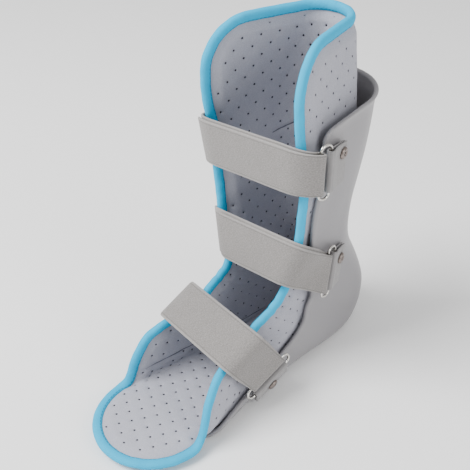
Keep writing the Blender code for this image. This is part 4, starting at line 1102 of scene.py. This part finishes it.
class Wrap:
    """The way a strap takes round the brace, as the tight polygon of lines round the slice that
    it crosses. Places on it are counted in corners, from the far side's back to the near side's."""

    def __init__(self, strap, run, body):
        run, width = math.radians(run), math.radians(strap["width"])
        self.origin = np.array([0.0, strap["back"], strap["up"]])
        self.along = np.array([0.0, math.cos(run), -math.sin(run)])
        self.across = np.array([0.0, math.sin(width), math.cos(width)])
        self.side = np.array([1.0, 0.0, 0.0]) + strap["skew"] * self.across
        self.taper = np.array([strap["front_taper"], strap["taper"]])
        self.skewed = 1 / math.cos(run - width)
        basis = np.stack([self.side, self.along, self.across], axis=1)
        x, t, w = np.linalg.solve(basis, (body - self.origin).T)
        reach = STRAP_WIDTH / 2 + RING_END + WIRE_RADIUS
        slice_ = (np.abs(w) < reach) & (t < strap["tab_rivet"] + TAB_TAIL + WRAP_BACK)
        points = np.stack([x / (1 + self.widening(t) * w), t], axis=1)[slice_]
        near = np.radians(np.array(WRAP_ANGLES[::-1], float))
        angles = np.concatenate([-math.pi - near[::-1], [-math.pi / 2], near])
        self.normals = np.stack([np.cos(angles), np.sin(angles)], axis=1)
        self.reach = (points @ self.normals.T).max(axis=0)
        depth = self.reach[len(near)] + strap["bow"]
        sides = self.reach[np.abs(np.sin(angles)) < 1e-9]
        half = np.where(np.cos(angles) > 0, sides[-1], sides[0])
        arch = np.hypot(half * np.cos(angles), depth * np.sin(angles))
        front = np.sin(angles) < -1e-9
        self.reach = np.where(front, np.maximum(self.reach, arch), self.reach)

    def widening(self, t):
        """The taper at t: that of the front, turning smoothly to the ring's."""
        share = eased(np.clip(1 + t / TAPER_RUN, 0.0, 1.0))
        return self.taper[0] + (self.taper[1] - self.taper[0]) * share

    def corners(self, offset):
        """The polygon's corners, moved out by offset."""
        normals, reach = self.normals, self.reach + offset
        turn = normals[:-1, 0] * normals[1:, 1] - normals[:-1, 1] * normals[1:, 0]
        x = (reach[:-1] * normals[1:, 1] - reach[1:] * normals[:-1, 1]) / turn
        t = (reach[1:] * normals[:-1, 0] - reach[:-1] * normals[1:, 0]) / turn
        return np.stack([x, t], axis=1)

    def at(self, place, offset):
        """Point at a place on the way, moved out by offset."""
        corners = self.corners(offset)
        index = min(max(int(place), 0), len(corners) - 2)
        return corners[index] + (corners[index + 1] - corners[index]) * (place - index)

    def place(self, side, t, offset):
        """Place where the way passes t on the near (1) or far (-1) side."""
        corners = self.corners(offset)
        count = len(corners)
        order = range(count - 1, 0, -1) if side > 0 else range(count - 1)
        for index in order:
            first, second = (index - 1, index) if side > 0 else (index, index + 1)
            low, high = corners[first][1], corners[second][1]
            if (low - t) * (high - t) <= 0 and low != high:
                return first + (t - low) / (high - low)
        return count - 1.0 if side > 0 else 0.0

    def places(self, start, end, offset):
        """Places from start to end: both, the corners between them, and steps on long stretches."""
        marks = [start]
        last = self.at(end, offset)
        for corner in range(math.ceil(start), math.floor(end) + 1):
            spot = self.at(corner, offset)
            before = self.at(marks[-1], offset)
            if min(np.linalg.norm(spot - before), np.linalg.norm(spot - last)) > RUN_LEAST:
                marks.append(float(corner))
        marks.append(end)
        result = [start]
        for low, high in zip(marks[:-1], marks[1:]):
            length = np.linalg.norm(self.at(high, offset) - self.at(low, offset))
            count = max(1, math.ceil(length / RUN_STEP))
            result.extend(low + (high - low) * (k + 1) / count for k in range(count))
        return result

    def points(self, spots, w):
        """Points of the slice's plane (x, t), at w across the strap, as whole arrays."""
        x, t = spots[..., 0], spots[..., 1]
        wide = x * (1 + self.widening(t) * w)
        return (self.origin + self.side * wide[..., None] + self.along * t[..., None]
                + self.across * np.asarray(w)[..., None])


def fold(centre, first, radius):
    """Half a turn about a centre, from the direction first round to its opposite."""
    start = math.atan2(first[1], first[0])
    return [centre + radius * np.array([math.cos(start - a), math.sin(start - a)])
            for a in np.linspace(0.0, math.pi, 3 * FOLD_STEPS + 1)]


def seated(path, t):
    """The path with a straight stretch round t on its first pass there, as a seat for a rivet, and
    the seat's middle and outward normal."""
    path = np.array(path)
    heights = path[:, 1]
    passes = [i for i in range(len(path) - 1)
              if (heights[i] - t) * (heights[i + 1] - t) <= 0 and heights[i] != heights[i + 1]]
    cross = passes[0]
    share = (t - heights[cross]) / (heights[cross + 1] - heights[cross])
    length = lengths(path)
    middle = length[cross] + share * (length[cross + 1] - length[cross])
    reach = RIVET_HEAD / 2 + SEAT_MARGIN
    ends = list(read(middle + np.array([-reach, reach]), length, path))
    before = [spot for spot, at in zip(path, length) if at < middle - reach - SEAT_MARGIN / 2]
    after = [spot for spot, at in zip(path, length) if at > middle + reach + SEAT_MARGIN / 2]
    centre = (ends[0] + ends[1]) / 2
    step = ends[1] - ends[0]
    normal = np.array([step[1], -step[0]]) / np.linalg.norm(step)
    return before + ends + after, (centre, normal * np.sign(normal[0] * centre[0]))


def lifted(wrap, places, ring, offset, lift, ease):
    """Spots at these places, moved out by offset, and near the ring by lift times the square of
    what the way from the ring leaves of ease."""
    spots, length, last = [], 0.0, wrap.at(ring, offset)
    for place in places:
        spot = wrap.at(place, offset)
        length += np.linalg.norm(spot - last)
        last = spot
        more = lift * (1 - min(length / ease, 1.0)) ** 2
        spots.append(wrap.at(place, offset + more))
    return spots


def layers(wrap, wall):
    """How far the middles of the inner and the outer layer lie from the brace, the radius of
    the fold round the wire, and the lift that the outer layer has there."""
    inner = WRAP_GAP + wall / 2
    turn = (WIRE_RADIUS + WIRE_GAP + wall / 2) * wrap.skewed
    return inner, inner + wall + LAYER_GAP, turn, 2 * turn - wall - LAYER_GAP


def strap_path(wrap, strap):
    """From the far rivet round the front, round the ring's wire and back to the free end."""
    inner, outer, turn, lift = layers(wrap, STRAP_WALL)
    start = wrap.place(-1, strap["strap_rivet"] + STRAP_TAIL, inner)
    ring = wrap.place(1, -turn - STRAP_WALL / 2, inner + turn)
    front = wrap.corners(outer)[:, 1].min()
    end = wrap.place(-1, front * (1 - strap["end"]), outer)
    under = [wrap.at(place, inner) for place in wrap.places(start, ring, inner)]
    centre = wrap.at(ring, inner + turn)
    inward = under[-1] - centre
    loop = fold(centre, inward, np.linalg.norm(inward))
    over = lifted(wrap, wrap.places(end, ring, outer)[::-1], ring, outer, lift, EASE_RUN)
    under, seat = seated(under, strap["strap_rivet"])
    return np.array(under + loop[1:-1] + over), centre, seat


def tab_path(wrap, strap):
    """A webbing loop: from behind its rivet, round the ring's rear wire and back again."""
    inner, outer, turn, lift = layers(wrap, TAB_WALL)
    fold_out = STRAP_WALL + WIRE_GAP + WIRE_RADIUS
    ring = wrap.place(1, RING_SLOT - fold_out, inner + turn)
    back = wrap.place(1, strap["tab_rivet"] + TAB_TAIL, outer)
    places = wrap.places(ring, back, outer)
    ease = min(EASE_RUN, strap["tab_rivet"] - RING_SLOT + fold_out)
    centre = wrap.at(ring, inner + turn)
    over = lifted(wrap, places, ring, outer, lift, ease)
    under = [wrap.at(place, inner) for place in places]
    outward = over[0] - centre
    loop = fold(centre, outward, np.linalg.norm(outward))
    over, seat = seated(over, strap["tab_rivet"])
    under = seated(under, strap["tab_rivet"])[0]
    return np.array(over[::-1] + loop[1:-1] + under), centre, seat


def softened(path, centre, step, spread, near):
    """The path with even steps, averaged over spread away from the fold's centre and hardly at
    all within near of it."""
    path = even(path, step)
    away = np.linalg.norm(path - centre, axis=1)
    share = eased(np.clip((away - near) / (2 * near), 0.0, 1.0)[:, None])
    return blurred(path, FOLD_EASE / step) * (1 - share) + blurred(path, spread / step) * share


def band_profile(wall, half_width):
    """Places across a flat band and over its middle, round its two faces and half round edges."""
    turn = np.linspace(0.0, math.pi, 7)[1:-1]
    side = wall / 2
    straight = (half_width - side) * np.linspace(-1.0, 1.0, 25)
    w = np.concatenate([straight, half_width - side + side * np.sin(turn),
                        straight[::-1], -(half_width - side) - side * np.sin(turn)])
    n = np.concatenate([np.full(25, side), side * np.cos(turn),
                        np.full(25, -side), -side * np.cos(turn)])
    return w, n


def ribbon(wrap, path, wall, half_width, ring, ends, wave, flute, slip=0.0, lift=0.0):
    """A flat band's points: its profile carried along the path. It narrows towards the ring, its
    corners are round at rounded ends, and its wall closes at both. Waves move the whole band
    along its normal, and flutes its outer face. Before the ring the inner layer slips along w,
    and after it the outer layer stands off by lift in its middle."""
    length = lengths(path)
    share = np.ones(len(path))
    if ring is not None:
        away = np.maximum(0.0, np.linalg.norm(path - ring, axis=1) - 2 * WIRE_RADIUS - STRAP_WALL)
        share -= (1 - RING_NARROW) * np.maximum(0.0, 1 - away / NARROW_RUN)
    closing = np.ones(len(path))
    for rounded, edge in zip(ends, (length, length[-1] - length)):
        if rounded:
            inside = np.clip(CORNER_ROUND - edge, 0.0, CORNER_ROUND)
            drop = CORNER_ROUND - np.sqrt(CORNER_ROUND ** 2 - inside ** 2)
            share = np.minimum(share, 1 - drop / half_width)
        tip = np.clip(edge / (wall / 2), 0.02, 1.0)
        closing = np.minimum(closing, np.sqrt(1 - (1 - tip) ** 2))
    w, n = band_profile(wall, half_width)
    w_grid = share[:, None] * w[None, :]
    n_grid = (closing[:, None] * n[None, :] + wave * ripple(length[:, None], w_grid, WAVE_LONG, 7)
              + np.where(n > 0, flute, 0.0) * np.sin(2 * math.pi * length / FLUTE_PITCH)[:, None])
    if ring is not None:
        turned = int(np.argmin(np.linalg.norm(path - ring, axis=1)))
        under = np.clip((length[turned] - length) / LAYER_RUN, 0.0, 1.0)
        under = under * np.clip(length / LAYER_RUN, 0.0, 1.0)
        over = np.clip((length - length[turned]) / (length[-1] - length[turned]), 0.0, 1.0)
        w_grid = w_grid + slip * eased(under)[:, None]
        n_grid = n_grid + lift * (np.sin(math.pi * over) ** 2)[:, None]
    spots = path[:, None] + normals(path)[:, None] * n_grid[..., None]
    points = wrap.points(spots, w_grid)
    uv = np.stack([np.repeat(length[:, None], len(w), axis=1), w_grid], axis=-1)
    return points.reshape(-1, 3), tube_faces(len(path), len(w), False), uv.reshape(-1, 2), length


def seam_lines(length_end, half_width, box):
    """Stitch places, STITCH_PITCH apart, on the four sides of a rectangle behind the free end:
    the length, w, and whether the stitch lies across the band."""
    near, far = length_end - SEAM_MARGIN, length_end - SEAM_MARGIN - box
    side = half_width - SEAM_MARGIN
    spots = [(row, w, True) for row in (near, far)
             for w in np.arange(-side + STITCH_PITCH / 2, side, STITCH_PITCH)]
    spots += [(at, w, False) for w in (-side, side)
              for at in np.arange(far + STITCH_PITCH / 2, near, STITCH_PITCH)]
    return spots


def stitches(name, wrap, path, length, half_width, box, wall):
    """Threads of a seam: each stitch is a short spindle that bows out of the fabric and dips into
    it at both ends. Its six sides follow a closed ring on seven places along it."""
    normal = normals(path)
    points, faces = [], []
    places = np.linspace(-1.0, 1.0, 7)
    reach = places * STITCH_LENGTH / 2
    rise = wall / 2 + THREAD * (0.9 - 1.6 * places ** 4)
    radius = THREAD * (1.0 - 0.45 * places ** 4)[:, None, None]
    for at, w, across in seam_lines(length[-1], half_width, box):
        run = at + (0.0 if across else 1.0) * reach
        widths = w + (1.0 if across else 0.0) * reach
        spot, out = read(run, length, path), read(run, length, normal)
        middle = wrap.points(spot + out * rise[:, None], widths)
        up = unit(wrap.points(spot + out * (rise + 0.001)[:, None], widths) - middle)
        aside = np.cross(unit(np.gradient(middle, axis=0)), up)
        ring = round_profile(middle, radius, aside, up, 6)
        base = len(points) * ring.shape[0] * 6
        faces += [[base + k for k in face] for face in tube_faces(7, 6, False)]
        points.append(ring.reshape(-1, 3))
    piece(name, np.concatenate(points), faces, MATERIALS["thread"], None)


def wire_ring(name, strap_wrap, front, tab_wrap, rear):
    """A ring's wire: a round profile carried along two straight sides and two half round ends."""
    half = STRAP_WIDTH / 2 * RING_NARROW + EDGE_GAP
    turn = np.linspace(0.0, math.pi, 40)
    u = np.concatenate([-np.cos(turn), np.cos(turn)])
    w = np.concatenate([half + RING_END * np.sin(turn), -half - RING_END * np.sin(turn)])
    first = strap_wrap.points(np.broadcast_to(front, (len(w), 2)), w)
    second = tab_wrap.points(np.broadcast_to(rear, (len(w), 2)), w)
    line = first * (1 - u)[:, None] / 2 + second * (1 + u)[:, None] / 2
    line = blurred(even(line, WIRE_STEP, closed=True), 2.0, closed=True)
    ahead = loop_ahead(line)
    flat = unit(np.cross(first[10] - first[0], second[20] - first[0]))
    aside = unit(np.cross(ahead, flat))
    points = round_profile(line, WIRE_SHOWN, aside, np.cross(aside, ahead), 14)
    piece(name + "_wire", points.reshape(-1, 3), tube_faces(len(line), 14, True),
          MATERIALS["wire"], name, angle=80)


def rivet(name, wrap, seat, height, wall):
    """A rivet's head: a turned profile of a rolled dome round a shallow hollow, and its shank."""
    spot, normal = seat
    spot = spot + normal * wall / 2
    small = 0.001
    step = np.array([-normal[1], normal[0]]) * small
    at = wrap.points(np.array([spot, spot, spot, spot + step, spot - step]),
                     np.array([height, height + small, height - small, height, height]))
    axis = unit(np.cross(at[3] - at[4], at[1] - at[2]))
    head = RIVET_HEAD / 2
    crest, shank = RIVET_CREST * head, RIVET_SHANK * head
    profile = [(share * head, high * RIVET_DOME) for share, high in RIVET_HOLLOW]
    profile += [(crest + (head - crest) * math.sin(a),
                 RIVET_DOME * (RIVET_BRIM + (1 - RIVET_BRIM) * math.cos(a)))
                for a in np.linspace(0.0, math.pi / 2, 9)]
    profile += [(head * 0.99, 0.0), (shank, 0.0), (shank, -RIVET_DEPTH), (0.0, -RIVET_DEPTH)]
    profile = np.array(profile)
    sides = 40
    aside = unit(np.cross(axis, np.array([0.0, 0.3, 1.0])))
    around = np.linspace(0.0, 2 * math.pi, sides + 1)[:-1][:, None]
    radial = aside * np.cos(around) + np.cross(axis, aside) * np.sin(around)
    ring = profile[1:-1]
    base = at[0] + axis * TOUCH_GAP
    body = base + ring[:, None, :1] * radial[None] + ring[:, None, 1:] * axis
    points = np.concatenate([body.reshape(-1, 3), [base + axis * profile[0][1]],
                             [base + axis * profile[-1][1]]])
    faces = tube_faces(len(ring), sides, False)[:-2]
    top, bottom, last = len(points) - 2, len(points) - 1, (len(ring) - 1) * sides
    for k in range(sides):
        after = (k + 1) % sides
        faces += [[top, after, k], [bottom, last + k, last + after]]
    # marks the hollow for the painted shade of the rivet finish
    hollow = np.zeros(len(points))
    hollow[:2 * sides] = 1.0
    hollow[top] = 1.0
    piece(name + "_turned", points, faces, MATERIALS["rivet"], name,
          marks={"hollow": hollow}, angle=50)


def straps():
    """Every strap with its stitches, ring, tab and two rivets."""
    body = brace_points()
    for strap in strap_rows():
        name = strap["name"]
        wrap = Wrap(strap, strap["run"], body)
        tab_wrap = Wrap(strap, strap["tab_run"], body)
        path, front_wire, strap_seat = strap_path(wrap, strap)
        path = softened(path, front_wire, *STRAP_EASE)
        half = STRAP_WIDTH / 2
        points, faces, uv, length = ribbon(wrap, path, STRAP_WALL, half, front_wire,
                                           (False, True), STRAP_WAVE, 0.0, SLIP[name], LIFT[name])
        piece("strap_" + name + "_loop", points, faces, MATERIALS["strap"],
              "strap_" + name, uv, angle=70)
        stitches("strap_" + name + "_stitches", wrap, path, length, half,
                 SEAM_BOX[name], STRAP_WALL)
        webbing, rear_wire, tab_seat = tab_path(tab_wrap, strap)
        webbing = softened(webbing, rear_wire, *TAB_EASE)
        points, faces, uv, _ = ribbon(tab_wrap, webbing, TAB_WALL, half * RING_NARROW, None,
                                      (False, False), TAB_WAVE, FLUTE[name])
        piece("tab_" + name + "_webbing", points, faces, MATERIALS["tab"],
              "tab_" + name, uv, angle=70)
        wire_ring("ring_" + name, wrap, front_wire, tab_wrap, rear_wire)
        rivet("rivet_tab_" + name, tab_wrap, tab_seat, strap["rivet_up"], TAB_WALL)
        rivet("rivet_strap_" + name, wrap, strap_seat, strap["rivet_up"], STRAP_WALL)


MATERIALS = {"strap": strap_finish(), "tab": tab_finish(), "wire": wire_finish(),
             "rivet": rivet_finish(), "thread": thread_finish()}


# Stage

def aimed(name, data, place, ahead):
    """A camera or a light at a place, looking ahead."""
    obj = linked(name, data)
    obj.location = place
    obj.rotation_euler = Vector(ahead).to_track_quat("-Z", "Y").to_euler()
    return obj


def studio():
    """A pale floor, soft white light from all round, a broad light above and in front, and a
    weaker one from the right."""
    floor = bpy.data.meshes.new("floor")
    corners = [(x * FLOOR_REACH, y * FLOOR_REACH, FLOOR_LOW)
               for x, y in ((-1, -1), (1, -1), (1, 1), (-1, 1))]
    floor.from_pydata(corners, [], [(0, 1, 2, 3)])
    floor.materials.append(finish("pale_floor", (0.90, 0.90, 0.90), 0.9)[0])
    linked("floor", floor)
    world = bpy.data.worlds.new("studio")
    world.use_nodes = True
    world.node_tree.nodes["Background"].inputs["Color"].default_value = (1.0, 1.0, 1.0, 1.0)
    world.node_tree.nodes["Background"].inputs["Strength"].default_value = WORLD_LIGHT
    bpy.context.scene.world = world
    for name, place, size, power in LIGHTS:
        light = bpy.data.lights.new(name, "AREA")
        light.size = size
        light.energy = power
        aimed(name, light, place, Vector(LIGHT_TARGET) - Vector(place))


def photo_camera():
    """The camera at the photograph's place."""
    camera = bpy.data.cameras.new("camera")
    camera.sensor_width = SENSOR
    camera.lens = FOCAL_PIXELS / PICTURE_SIZE * SENSOR
    bpy.context.scene.camera = aimed("camera", camera, CAMERA_PLACE, CAMERA_AHEAD)


photo_camera()
liner()
tape()
shell()
straps()
studio()
